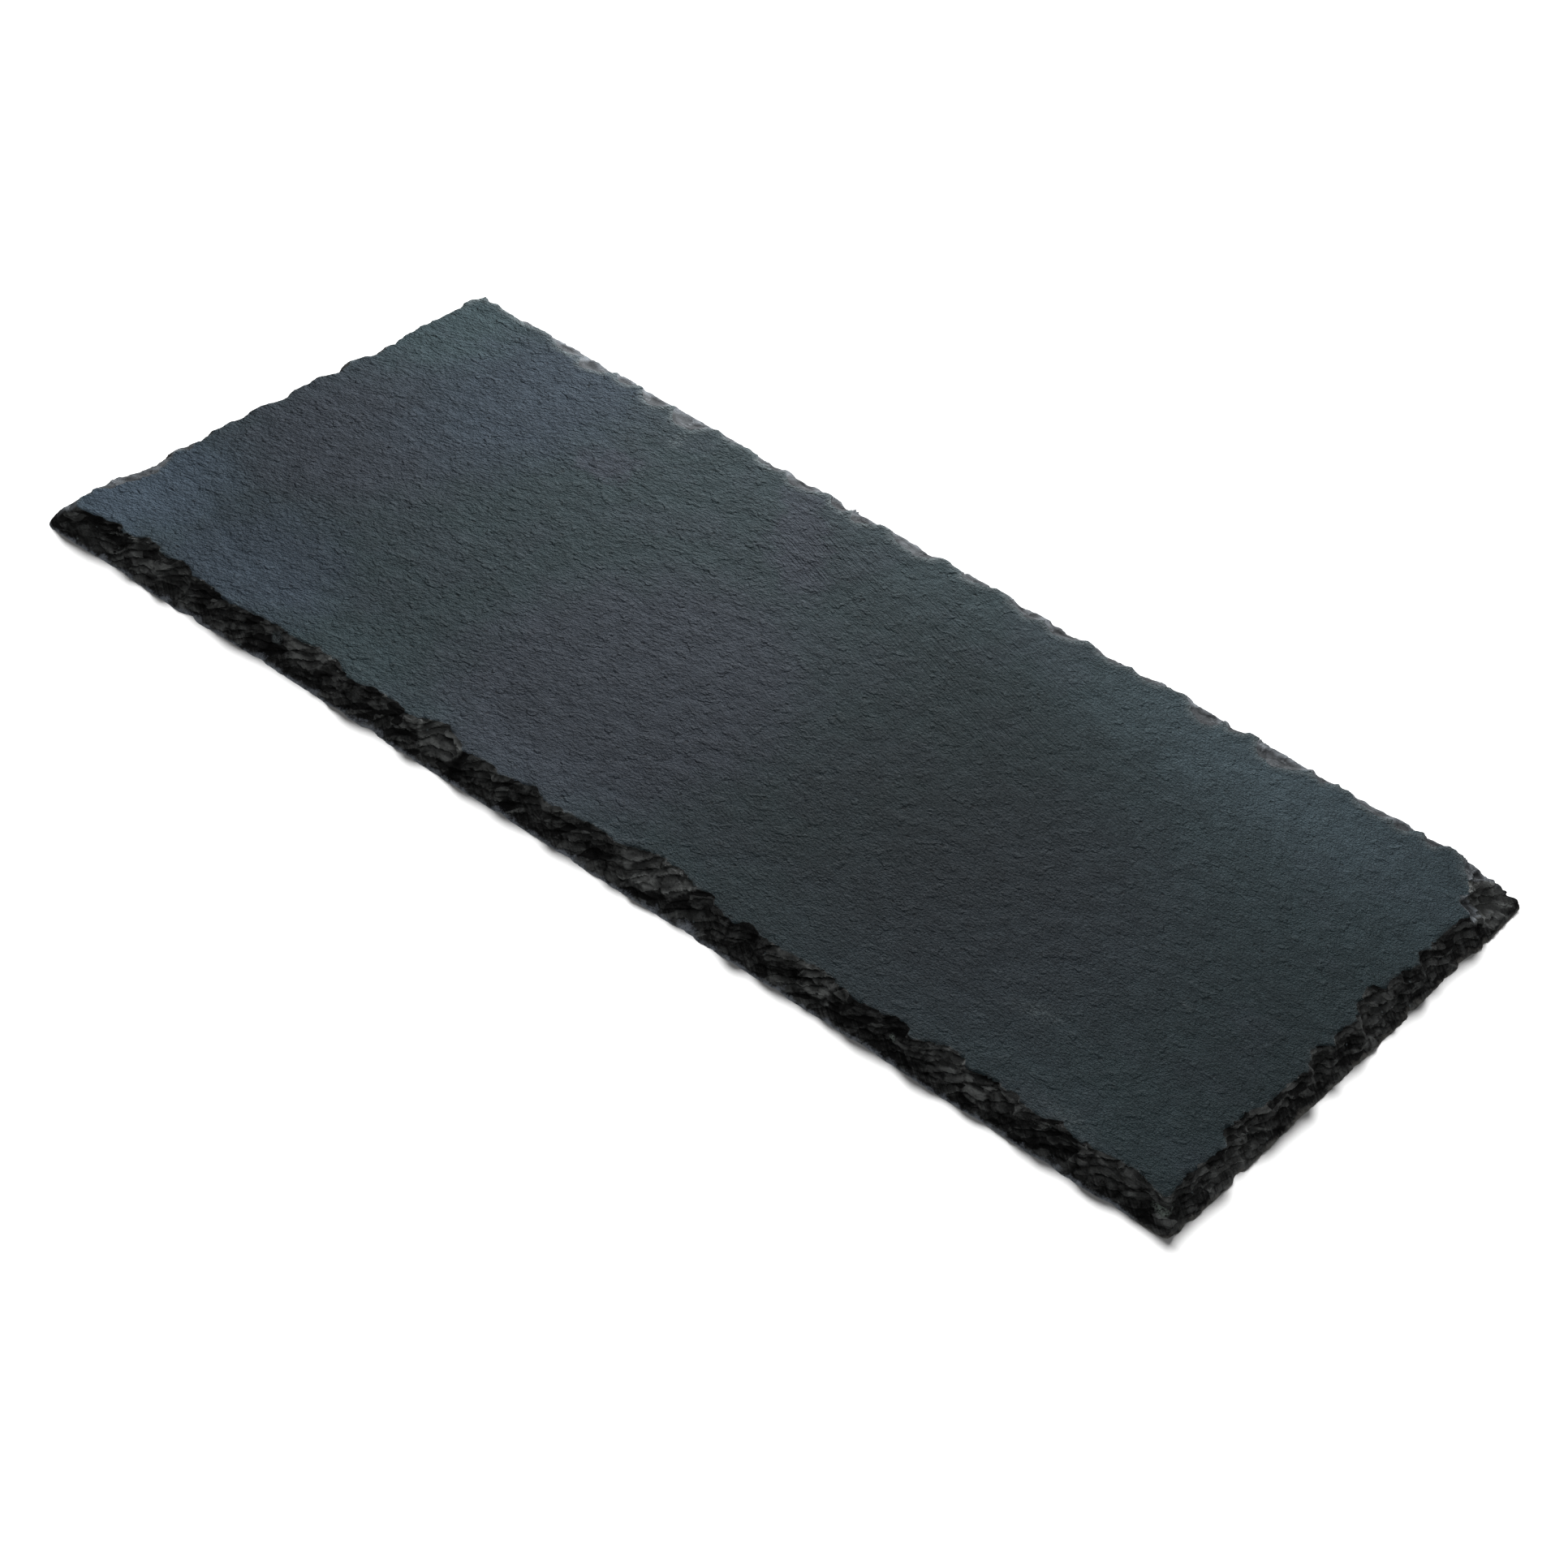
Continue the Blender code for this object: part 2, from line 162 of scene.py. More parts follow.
# How the edge is traced: rays fan out from a line this far inside the sides. A chip is tried on
# the rays that pass within its width and a margin of its middle.
SHOULDER = 21.0
CHIP_MARGIN = 12.0
RAY_START = 3.0
RAY_END = 33.0
RAY_STEP = 0.8
LOSS_REACH = 4.0  # the most that the fine losses take off, along a ray
LOSS_STEP = 0.3
RAY_HALVINGS = 4

# side: (outward direction in plan, distance of the side from the middle)
SIDES = {
    "near": ((0, -1), WIDTH / 2),
    "right": ((1, 0), LENGTH / 2),
    "far": ((0, 1), WIDTH / 2),
    "left": ((-1, 0), LENGTH / 2),
}
CORNERS = {"near right": (1, -1), "far right": (1, 1), "far left": (-1, 1), "near left": (-1, -1)}

# One struck chip. at: its middle along the side, in X or Y. width: across its rim on the upper
# face. reach: how far in from the side that rim comes. slope: of the chip's face, in degrees from
# level. hollow: how dished it is. turn: degrees that it is struck off square. floor: the height of
# the bedding plane that it stops at, which is left as a ledge. tone: from 0, near-black stone, to
# 1, pale; it is partly painted light and shade, as the shallow chips that face up are painted pale
# as lit and the steep ones dark as shaded. blue: from 0, warm, to 1, blue-grey; where it is high,
# the top of the edge is painted pale as lit and its foot dark as shaded. top: the height of its rim.
CHIP_FIELDS = "side at width reach slope hollow turn floor tone blue top"
Chip = namedtuple("Chip", CHIP_FIELDS, defaults=[0, THICKNESS])

# The chips of each side, from at to blue.
NEAR_CHIPS = [
    (-182, 25, 5.8, 58, 0.5, 10, 0, 0.1),
    (-162, 11, 8.2, 40, 0.4, -20, 4.5, 0.5),
    (-150, 13, 8.0, 48, 0.5, -15, 0, 0.4),
    (-140, 15, 5.6, 60, 0.6, 0, 0, 0.2),
    (-118, 25, 6.2, 66, 1.0, 12, 0, 0.02),
    (-103, 22, 8.6, 38, 0.4, 15, 4.8, 0.6, 0.2),
    (-91, 12, 6.9, 55, 0.5, -15, 0, 0.25),
    (-74, 21, 6.3, 62, 0.7, 8, 0, 0.12),
    (-51, 18, 9.0, 36, 0.3, -12, 5.2, 0.85),
    (-35, 8, 6.0, 50, 0.4, 20, 5.0, 0.4),
    (-24, 13, 5.7, 60, 0.5, 0, 0, 0.15),
    (-15, 9, 7.6, 52, 0.4, -25, 3.4, 0.3),
    (0, 21, 6.6, 64, 1.0, 8, 0, 0.02),
    (25, 27, 9.5, 30, 0.3, 10, 5.8, 0.75),
    (43, 18, 7.6, 63, 0.9, -15, 0, 0.05),
    (60, 9, 7.1, 55, 0.5, -20, 4.0, 0.15),
    (72, 14, 6.2, 58, 0.5, 10, 0, 0.3),
    (82, 13, 7.2, 37, 0.3, -12, 5.6, 0.65, 0.2),
    (101, 18, 5.1, 64, 0.6, 10, 0, 0.1),
    (125, 12, 7.4, 35, 0.3, -18, 5.5, 0.75),
    (134, 11, 5.6, 34, 0.3, 0, 6.0, 0.7),
    (144, 13, 6.7, 37, 0.4, -15, 4.6, 0.6),
    (162, 14, 6.2, 60, 0.5, -18, 0, 0.2),
    (180, 23, 5.5, 36, 0.4, 15, 5.4, 0.65),
]
RIGHT_CHIPS = [
    (-90, 14, 6.2, 60, 0.5, 12, 0, 0.2),
    (-76, 18, 5.9, 62, 0.6, 0, 3.6, 0.3),
    (-64, 10, 8.5, 50, 0.4, 22, 0, 0.35),
    (-51, 13, 7.6, 55, 0.5, -14, 4.4, 0.3),
    (-34, 19, 5.8, 62, 0.7, 10, 0, 0.15),
    (-18, 12, 7.6, 50, 0.5, 18, 3.8, 0.3),
    (-2, 11, 6.2, 58, 0.5, 0, 0, 0.15),
    (14, 21, 9.6, 46, 0.5, 14, 4.6, 0.35),
    (29, 14, 7.4, 55, 0.5, -10, 0, 0.2),
    (48, 12, 8.6, 52, 0.5, -20, 4.2, 0.25),
    (62, 17, 6.8, 60, 0.6, 8, 0, 0.15),
    (73, 9, 10.5, 30, 0.1, 10, 8.0, 0.8, 1),
    (87, 21, 13.5, 36, 1.2, -6, 3.0, 1.0, 0.2),
]
FAR_CHIPS = [
    (-178, 20, 9.0, 34, 0.3, 8, 7.4, 0.4, 1),
    (-160, 16, 11.0, 24, 0.3, 15, 7.3, 0.45, 1),
    (-143, 14, 14.0, 20, 0.2, -10, 7.4, 0.75, 1),
    (-133, 9, 12.0, 24, 0.2, 0, 7.8, 0.5, 1),
    (-123, 13, 13.0, 20, 0.2, 14, 7.2, 0.6, 1),
    (-103, 15, 15.0, 17, 0.2, -12, 7.4, 0.75, 1),
    (-89, 12, 9.6, 34, 0.3, 0, 7.6, 0.4, 1),
    (-76, 11, 11.6, 24, 0.3, 12, 7.5, 0.4, 1),
    (-60, 16, 12.0, 22, 0.2, -8, 7.2, 0.5, 0.9),
    (-48, 10, 11.5, 26, 0.2, 10, 7.7, 0.5, 0.9),
    (-35, 9, 13.0, 22, 0.2, -12, 7.5, 0.6, 0.8),
    (-19, 20, 14.0, 18, 0.2, 10, 7.2, 0.6, 0.8),
    (6, 15, 10.6, 28, 0.3, -10, 7.6, 0.45, 0.8),
    (22, 15, 12.2, 22, 0.2, 12, 7.3, 0.5, 0.8),
    (39, 15, 12.6, 22, 0.2, -8, 7.5, 0.55, 0.8),
    (54, 14, 11.6, 25, 0.3, 10, 7.4, 0.5, 0.8),
    (69, 14, 10.6, 28, 0.3, 0, 7.7, 0.5, 0.9),
    (87, 14, 14.6, 17, 0.2, 14, 7.3, 0.8, 1),
    (100, 8, 10.6, 28, 0.2, 0, 7.8, 0.6, 1),
    (120, 17, 16.0, 16, 0.2, -16, 7.2, 0.9, 1),
    (131, 10, 11.2, 26, 0.2, 0, 7.7, 0.7, 1),
    (147, 17, 12.2, 22, 0.3, 10, 7.3, 0.7, 1),
    (161, 9, 12.6, 22, 0.2, -12, 7.6, 0.7, 1),
    (169, 8, 11.0, 26, 0.2, 0, 7.8, 0.6, 1),
    (183, 11, 14.0, 20, 0.2, 10, 7.4, 0.85, 1),
]
LEFT_CHIPS = [
    (92, 13, 6.3, 60, 0.5, 8, 0, 0.3, 0.5),
    (73, 13, 5.9, 62, 0.5, 0, 3.8, 0.2, 0.5),
    (48, 15, 7.0, 60, 0.5, -12, 0, 0.3, 0.5),
    (34, 10, 5.8, 58, 0.4, 0, 4.4, 0.25, 0.5),
    (20, 15, 7.1, 60, 0.5, 12, 0, 0.15),
    (-3, 13, 7.4, 60, 0.5, -10, 4.0, 0.3, 0.5),
    (-22, 14, 5.8, 62, 0.5, 0, 0, 0.15),
    (-40, 13, 6.8, 58, 0.5, 10, 3.4, 0.3),
    (-46, 12, 8.0, 22, 0.1, -8, 8.0, 0.7, 1),
    (-60, 20, 7.4, 60, 0.6, 8, 0, 0.3, 0.5),
    (-67, 38, 9.0, 18, 0.2, 4, 7.7, 0.7, 1),
]
# at a corner, at is measured across the diagonal and reach along it
CORNER_CHIPS = [
    Chip("near left", 0, 17, 4.6, 84, 0.2, 6, 0, 0.1),
    Chip("near left", 0, 30, 9.0, 76, 0.3, -8, 3.8, 0.8, 1),
    Chip("near right", 1, 16, 6.4, 72, 0.4, 8, 0, 0.25),
    Chip("far right", 0, 22, 8.5, 55, 0.5, 0, 0, 0.9),
    Chip("far left", 0, 16, 8.6, 60, 0.3, 0, 0, 0.5, 0.8),
]

SIDE_CHIPS = zip(SIDES, (NEAR_CHIPS, RIGHT_CHIPS, FAR_CHIPS, LEFT_CHIPS))
LARGE_CHIPS = [Chip(side, *row) for side, rows in SIDE_CHIPS for row in rows] + CORNER_CHIPS

# Smaller flakes between the chips above, drawn at random. Each pair is a lowest and a highest.
FLAKE_SEED = 7
FLAKE_SPACING = (6.0, 13.0)
FLAKE_WIDTH = (5.0, 13.0)
FLAKE_BITE = (0.3, 1.5)  # how far it cuts in past the dressed edge
FLAKE_SLOPE = (48, 76)
FLAKE_HOLLOW = (0.1, 0.5)
FLAKE_TURN = (-28, 28)
FLAKE_LEDGE = (1.5, 8.0)  # how far below its rim it stops at a ledge
LOW_FLAKE_TOP = (2.8, 7.0)  # rim heights of the flakes on the lower half of the edge
FLAKE_TONE = (0.0, 0.35)
FLAKE_TONE_SEED = 8

# (tone, blue) of the dressed stone between the chips. They are partly painted light and shade: the
# far side and the left end, which face the light, are painted pale and blue-grey, and the near and
# right sides, in shade, dark.
SIDE_TONE_AND_LIGHT = {"near": (0.08, 0), "right": (0.12, 0), "far": (0.75, 1.0), "left": (0.3, 0.6)}

# -------- tracing the edge


def bumps(x, y, z, height, size, seed):
    """Smooth bumps and dips, each up to that height."""
    table = np.random.default_rng(seed).uniform(-1, 1, NOISE_TABLE)
    cells = []
    shares = []
    for coordinate in (x, y, z):
        cell = np.floor(coordinate / size)
        share = coordinate / size - cell
        cells.append(cell.astype(np.int64))
        shares.append(share * share * (3 - 2 * share))
    total = 0
    for corner in product((0, 1), repeat=3):
        place = 0
        weight = 1
        for cell, share, step, prime in zip(cells, shares, corner, NOISE_PRIMES):
            place = place + (cell + step) * prime
            weight = weight * (share if step else 1 - share)
        total = total + weight * table[(place ^ (place >> 7)) % NOISE_TABLE]
    return height * total


def raised(x, y, z, height, size, seed):
    """Smooth bumps from 0 to that height."""
    return height / 2 + bumps(x, y, z, height / 2, size, seed)


def ramp(value, width):
    """From 0 to 1 as the value goes from 0 to the width."""
    return np.clip(value / width, 0, 1)


def face_height(x, y):
    """Height of the upper face, before any chip and without its riven grain."""
    return THICKNESS - raised(x, y, 0 * x, *SWELL) - raised(x, y, 0 * x, *RIPPLE)


def scattered_flakes():
    rng = np.random.default_rng(FLAKE_SEED)
    tones = np.random.default_rng(FLAKE_TONE_SEED)
    flakes = []
    for side, (outward, _) in SIDES.items():
        half = (WIDTH if outward[0] else LENGTH) / 2
        for low in (False, True):
            at = -half
            while at < half:
                top = rng.uniform(*LOW_FLAKE_TOP) if low else THICKNESS
                lean = LEAN[side] * (top / THICKNESS) ** LEAN_CURVE
                reach = lean + rng.uniform(*FLAKE_BITE)
                width, slope, hollow, turn, ledge = (
                    rng.uniform(*pair)
                    for pair in (FLAKE_WIDTH, FLAKE_SLOPE, FLAKE_HOLLOW, FLAKE_TURN, FLAKE_LEDGE)
                )
                tone = tones.uniform(*FLAKE_TONE) + SIDE_TONE_AND_LIGHT[side][0]
                blue = SIDE_TONE_AND_LIGHT[side][1]
                shape = (at, width, reach, slope, hollow, turn, top - ledge, tone, blue, top)
                flakes.append(Chip(side, *shape))
                at += rng.uniform(*FLAKE_SPACING)
    return flakes


def chip_bite(chip):
    """How far the chip cuts in past the dressed edge at its rim."""
    if chip.side in CORNERS:
        return chip.reach
    lean = LEAN[chip.side] * (min(chip.top, THICKNESS) / THICKNESS) ** LEAN_CURVE
    return max(chip.reach - lean, LEAST_BITE)


def chip_frame(chip):
    """A point on the side below the middle of the chip, its inward direction, and its true reach.

    A turned chip is moved along and drawn back, so that its deepest point keeps its place.
    """
    if chip.side in CORNERS:
        signs = np.array(CORNERS[chip.side])
        outward = signs / math.sqrt(2)
        across = np.array([-outward[1], outward[0]])
        middle = signs * (LENGTH / 2, WIDTH / 2)
    else:
        outward = np.array(SIDES[chip.side][0], float)
        across = np.abs(outward[::-1])
        middle = outward * SIDES[chip.side][1]
    bite = chip_bite(chip)
    turn = np.clip(math.tan(math.radians(chip.turn)), -1, 1)
    turn = np.clip(turn, -MOST_TURN * bite / chip.width, MOST_TURN * bite / chip.width)
    place = middle + (chip.at + chip.width**2 * turn / (8 * bite)) * across
    inward = (across * turn - outward) / math.hypot(1, turn)
    return place, inward, chip.reach - (chip.width * turn) ** 2 / (16 * bite)


def outside_chip(chip, x, y, z):
    """Above 0 where the chip has taken the stone away, in millimetres from its face."""
    place, inward, reach = chip_frame(chip)
    inset = (x - place[0]) * inward[0] + (y - place[1]) * inward[1]
    sideways = (x - place[0]) * inward[1] - (y - place[1]) * inward[0]
    steepest = math.atan2(chip.top, reach - FOOT_BITE)
    slope = min(math.radians(chip.slope), steepest)
    lean_out = math.sin(slope)
    lean_up = math.cos(slope)
    beyond = reach - inset
    drop = chip.top - z
    depth = lean_out * beyond - lean_up * drop
    down_face = lean_up * beyond + lean_out * drop
    face_length = min(chip.top / lean_out, DISH_LENGTH)
    dish = 1 - (2 * down_face / face_length - 1) ** 2
    spread = lean_out * chip_bite(chip) * (2 * sideways / chip.width) ** 2
    return np.minimum(depth + chip.hollow * np.maximum(dish, 0) - spread, z - chip.floor)


def outside_dressed_edge(x, y, z):
    """Above 0 outside the block and its leaning edge, in millimetres."""
    across = np.abs(x) - (LENGTH / 2 - CORNER_RADIUS)
    along = np.abs(y) - (WIDTH / 2 - CORNER_RADIUS)
    distance = np.hypot(np.maximum(across, 0), np.maximum(along, 0)) + np.minimum(
        np.maximum(across, along), 0
    )
    weight_x = ramp(across - along + CORNER_BLEND / 2, CORNER_BLEND)
    lean_x = np.where(x > 0, LEAN["right"], LEAN["left"])
    lean_y = np.where(y > 0, LEAN["far"], LEAN["near"])
    lean = weight_x * lean_x + (1 - weight_x) * lean_y
    rise = ramp(z, THICKNESS) ** LEAN_CURVE
    return distance - CORNER_RADIUS + lean * rise + raised(x, y, 0 * z, *WANDER)


def height_in_beds(x, y, z):
    """Height measured along the stone's beds, which wave a little."""
    return z + bumps(x, y, 0 * z, *BED_WAVE)


def layers_up(x, y, z):
    """How many of the thin layers lie below this height, whole and part."""
    across = z + LAYER_DIP[0] * x + LAYER_DIP[1] * y
    return (across + bumps(x, y, z, *LAYER_BEND)) / LAYER_PITCH


def shards(x, y, z, size, tilt, seed):
    """How far each shard has broken back and its tone, both from 0 to 1. A shard's face is flat."""
    table = np.random.default_rng(seed).uniform(0, 1, (SHARD_VALUES, NOISE_TABLE))
    point = [coordinate / length for coordinate, length in zip((x, y, z), size)]
    first = [np.floor(coordinate - 0.5).astype(np.int64) for coordinate in point]
    margin = (1 - SHARD_SPREAD) / 2
    nearest = np.full(np.shape(point[0]), np.inf)
    loss = np.zeros(nearest.shape)
    tone = np.zeros(nearest.shape)
    for corner in product((0, 1), repeat=3):
        cell = [low + step for low, step in zip(first, corner)]
        key = sum(number * prime for number, prime in zip(cell, NOISE_PRIMES))
        values = table[:, (key ^ (key >> 7)) % NOISE_TABLE]
        middle = [number + margin + SHARD_SPREAD * jitter for number, jitter in zip(cell, values)]
        away = [here - there for here, there in zip(point, middle)]
        distance = away[0] ** 2 + away[1] ** 2 + away[2] ** 2
        slant = sum(part * (lean - 0.5) for part, lean in zip(away, values[3:6]))
        closer = distance < nearest
        nearest = np.where(closer, distance, nearest)
        loss = np.where(closer, np.clip(values[6] + tilt * slant, 0, 1), loss)
        tone = np.where(closer, values[7], tone)
    return loss, tone


def fine_loss(x, y, z):
    """What is gone from the edge besides the chips: shards, teeth, tool scores and hackle."""
    beds = height_in_beds(x, y, z)
    broken = sum(deep * shards(x, y, beds, size, tilt, seed)[0] for deep, size, tilt, seed in SHARDS)
    broken += LAYER_LEDGE * (layers_up(x, y, z) % 1)
    near_rim = ramp(z - THICKNESS + TOOTH_DEPTH, TOOTH_DEPTH)
    near_foot = ramp(SCORE_TOP - z, SCORE_FADE)
    slant = SCORE_SLANT * z
    far = ramp(y - FAR_FROM, CALM_OVER) * ramp(FAR_END - x, CALM_OVER)
    left = ramp(-x - LEFT_FROM, CALM_OVER) * ramp(y - LEFT_END, CALM_OVER)
    calm = np.maximum(FAR_CALM * far, LEFT_CALM * left)
    return (1 - calm) * (
        broken * (FOOT_SHARE + (1 - FOOT_SHARE) * ramp(z, FOOT_HEIGHT))
        + np.abs(bumps(x, y, 0 * z, *TOOTH)) * near_rim
        + raised(x + slant, y + slant, 0 * z, *SCORE) * near_foot
        + raised(x, y, z, *ROUGHNESS)
        + raised(x, y, z, *HACKLE)
    )


def ragged(x, y, z):
    """The point moved about a little, so that what is cut there has a ragged outline."""
    east, north = (bumps(x, y, z, *size) for size in RAGGED)
    return x + east, y + north, height_in_beds(x, y, z)


def leaned_back(x, y, z):
    """The solid's Y for a place in this model, whose far side leans in less."""
    share = ramp(y - FAR_STAYS, FAR_MOVES - FAR_STAYS)
    rise = ramp(z, THICKNESS) ** LEAN_CURVE
    return y - np.interp(x, FAR_OUT_OVER, FAR_OUT) * share * rise


class EdgeStations:
    """Points all round the slab, seen from above anticlockwise, each with a ray going outwards."""

    def __init__(self, step, corner_steps):
        inner = np.array([LENGTH / 2 - SHOULDER, WIDTH / 2 - SHOULDER])
        starts = []
        headings = []
        sides = []
        turning = list(CORNERS.values())
        for quarter, signs in enumerate(turning):
            heading = math.radians(90 * quarter - 90)
            before = inner * turning[quarter - 1]
            corner = inner * signs
            count = round(np.hypot(*(corner - before)) / step)
            for i in range(count):
                starts.append(before + (corner - before) * i / count)
                headings.append(heading)
                sides.append(quarter)
            for i in range(corner_steps):
                starts.append(corner)
                headings.append(heading + math.radians(90) * i / corner_steps)
                sides.append((quarter + (2 * i >= corner_steps)) % len(turning))
        self.side = np.array(sides)
        self.start = np.array(starts)
        self.outward = np.stack([np.cos(headings), np.sin(headings)], axis=1)
        self.count = len(starts)
        self.rim = self.start + SHOULDER * self.outward / np.abs(self.outward).max(axis=1)[:, None]
        self.chips = []
        for chip in LARGE_CHIPS + scattered_flakes():
            away = np.hypot(*(self.rim - chip_frame(chip)[0]).T)
            self.chips.append((chip, np.flatnonzero(away < chip.width + CHIP_MARGIN)))

    def outside(self, x, y, z):
        """Above 0 outside the dressed and chipped edge. Each row of x, y and z is one station's."""
        y = leaned_back(x, y, z)
        found = outside_dressed_edge(x, y, z)
        moved = ragged(x, y, z)
        for chip, rows in self.chips:
            found[rows] = np.maximum(found[rows], outside_chip(chip, *(axis[rows] for axis in moved)))
        return found

    def along_rays(self, height, rise, distance):
        x = self.start[:, :1] + self.outward[:, :1] * np.cos(rise)[:, None] * distance
        y = self.start[:, 1:] + self.outward[:, 1:] * np.cos(rise)[:, None] * distance
        return x, y, height[:, None] + np.sin(rise)[:, None] * distance

    def surface(self, height, rise):
        """Where each station's ray leaves the stone. It starts at height and climbs at rise radians."""
        distance = np.arange(RAY_START, RAY_END, RAY_STEP)
        found = self.outside(*self.along_rays(height, rise, distance))
        chipped = distance[np.argmax(found > 0, axis=1)][:, None]
        closer = chipped + np.arange(-LOSS_REACH, LOSS_STEP, LOSS_STEP)
        places = self.along_rays(height, rise, closer)
        found = self.outside(*places) + fine_loss(*places)
        after = np.maximum(np.argmax(found > 0, axis=1), 1)[:, None]
        inside = np.take_along_axis(closer, after - 1, axis=1)
        beyond = np.take_along_axis(closer, after, axis=1)
        for _ in range(RAY_HALVINGS):
            middle = (inside + beyond) / 2
            places = self.along_rays(height, rise, middle)
            stone = self.outside(*places) + fine_loss(*places) < 0
            inside = np.where(stone, middle, inside)
            beyond = np.where(stone, beyond, middle)
        return np.concatenate(self.along_rays(height, rise, (inside + beyond) / 2), axis=1)

    def finish(self, points):
        """Tone, blue, shard tone, crack and layer of the stone at one point of each station."""
        here = [points[:, axis] for axis in range(3)]
        x, y, z = ragged(here[0], leaned_back(*here), here[2])
        deepest = outside_dressed_edge(x, y, z)
        second = np.full(self.count, -np.inf)
        names = list(SIDES)
        finish = np.array([SIDE_TONE_AND_LIGHT[names[side]] for side in self.side], float)
        for chip, rows in self.chips:
            cut = outside_chip(chip, x[rows], y[rows], z[rows])
            deeper = cut > deepest[rows]
            second[rows] = np.where(deeper, deepest[rows], np.maximum(second[rows], cut))
            deepest[rows] = np.maximum(deepest[rows], cut)
            finish[rows[deeper]] = (chip.tone, chip.blue)
        crack = np.clip(1 - (deepest - second) / CRACK_WIDTH, 0, 1)
        beds = height_in_beds(*here)
        tones = [shards(*here[:2], beds, size, tilt, seed)[1] for _, size, tilt, seed in SHARDS]
        return np.column_stack([finish, sum(tones) / len(tones), crack, layers_up(*here)])


def edge_rings(stations, rings):
    """Rings of points up the edge, from the foot on the underside to the rim of the upper face."""
    start = stations.start
    rim = stations.surface(face_height(start[:, 0], start[:, 1]), np.zeros(stations.count))
    rim[:, 2] = face_height(rim[:, 0], rim[:, 1])
    steepest = np.arctan2(rim[:, 2], np.hypot(*(rim[:, :2] - start).T))
    ground = np.zeros(stations.count)
    below = [stations.surface(ground, steepest * ring / rings) for ring in range(rings)]
    return below + [rim]


def relief(rings, stations):
    """From 0 in a hollow to 1 on a ridge, for each point of each ring. The broken edge's material paints
    shade into the hollows and light onto the ridges by it.
    """
    reach = np.array([np.linalg.norm(ring - np.column_stack([stations.start, 0 * ring[:, 0]]), axis=1)
                      for ring in rings])
    along, up = RELIEF_SPAN
    around = sum(np.roll(reach, shift, axis=1) for shift in range(-along, along + 1)) / (2 * along + 1)
    padded = np.pad(around, ((up, up), (0, 0)), mode="edge")
    around = sum(padded[shift:shift + len(reach)] for shift in range(2 * up + 1)) / (2 * up + 1)
    return np.clip(0.5 + 0.5 * (reach - around) / RELIEF_FULL, 0, 1)


# -------- the slab's mesh

UPPER, EDGE, UNDER = 1, 0, 2  # the zones of the surface


def inner_points(loop, step, margin):
    """A staggered grid of points clear of the loop, and how far each is from it."""
    rows = []
    distances = []
    for row, y in enumerate(np.arange(-WIDTH / 2 + margin, WIDTH / 2 - margin, step[1])):
        x = np.arange(-LENGTH / 2 + margin, LENGTH / 2 - margin, step[0]) + (row % 2) * step[0] / 2
        away = np.hypot(x[:, None] - loop[:, 0], y - loop[:, 1]).min(axis=1)
        clear = away > step[0] * CLEAR_OF_LOOP
        rows.append(np.stack([x[clear], np.full(clear.sum(), y)], axis=1))
        distances.append(away[clear])
    return np.concatenate(rows), np.concatenate(distances)


def filled(loop, inside):
    """Triangles over a loop and the points inside it, as indices into the loop and then the points."""
    plan = [tuple(point) for point in np.concatenate([loop, inside])]
    outline = [list(range(len(loop)))]
    triangles_inside = 1
    result = delaunay_2d_cdt(plan, [], outline, triangles_inside, SAME_POINT)
    triangles, origins = result[2], result[3]
    return np.array([[origins[corner][0] for corner in triangle] for triangle in triangles])


def edge_triangles(points, rings, count):
    """Triangles of the edge, each square cut along its shorter diagonal, with their ring and station."""
    ring, station = (axis.ravel() for axis in np.mgrid[0:rings, 0:count])
    after = (station + 1) % count
    a, b = ring * count + station, ring * count + after
    c, d = b + count, a + count
    straight = np.linalg.norm(points[a] - points[c], axis=1) < np.linalg.norm(points[b] - points[d], axis=1)
    first = np.where(straight[:, None], np.stack([a, b, c], 1), np.stack([a, b, d], 1))
    second = np.where(straight[:, None], np.stack([a, c, d], 1), np.stack([b, c, d], 1))
    return np.concatenate([first, second]), np.tile(station, 2)


# The bake's map: the faces and the four strips of the edge on one square sheet.
SHEET = 408.0
SHEET_GAP = 4.0
STRIP_HEIGHT = 16.0
SHORT_STRIP = 198.0
UNDERSIDE_SCALE = 0.68
# (left, bottom, length) of each side's strip, in the order that the stations run
STRIPS = [
    (SHEET_GAP, 2 * SHEET_GAP + WIDTH, LENGTH),
    (SHEET_GAP, 4 * SHEET_GAP + WIDTH + 2 * STRIP_HEIGHT, SHORT_STRIP),
    (SHEET_GAP, 3 * SHEET_GAP + WIDTH + STRIP_HEIGHT, LENGTH),
    (2 * SHEET_GAP + SHORT_STRIP, 4 * SHEET_GAP + WIDTH + 2 * STRIP_HEIGHT, SHORT_STRIP),
]


def strip_map(stations, rings, triangles, station_of):
    """The edge's corners on the sheet: distance along the side against the ring."""
    count = stations.count
    middle = rings[len(rings) // 2]
    steps = np.hypot(*(np.roll(middle, -1, axis=0) - middle)[:, :2].T)
    spots = np.zeros(triangles.shape + (2,))
    corner_ring = triangles // count
    # a corner is at the triangle's own station or the next one
    ahead = (triangles % count - station_of[:, None]) % count
    for side, (left, bottom, length) in enumerate(STRIPS):
        members = np.flatnonzero(stations.side == side)
        # the stations of the near side run on over the end of the list
        gap = np.flatnonzero(np.diff(members) > 1)
        ordered = np.roll(members, -(gap[0] + 1)) if len(gap) else members
        reached = np.concatenate([[0], np.cumsum(steps[ordered])])
        place = np.zeros(count, int)
        place[ordered] = np.arange(len(ordered))
        ours = stations.side[station_of] == side
        along = reached[place[station_of[ours]][:, None] + ahead[ours]] / reached[-1]
        spots[ours, :, 0] = left + length * along
        spots[ours, :, 1] = bottom + STRIP_HEIGHT * corner_ring[ours] / (len(rings) - 1)
    return spots


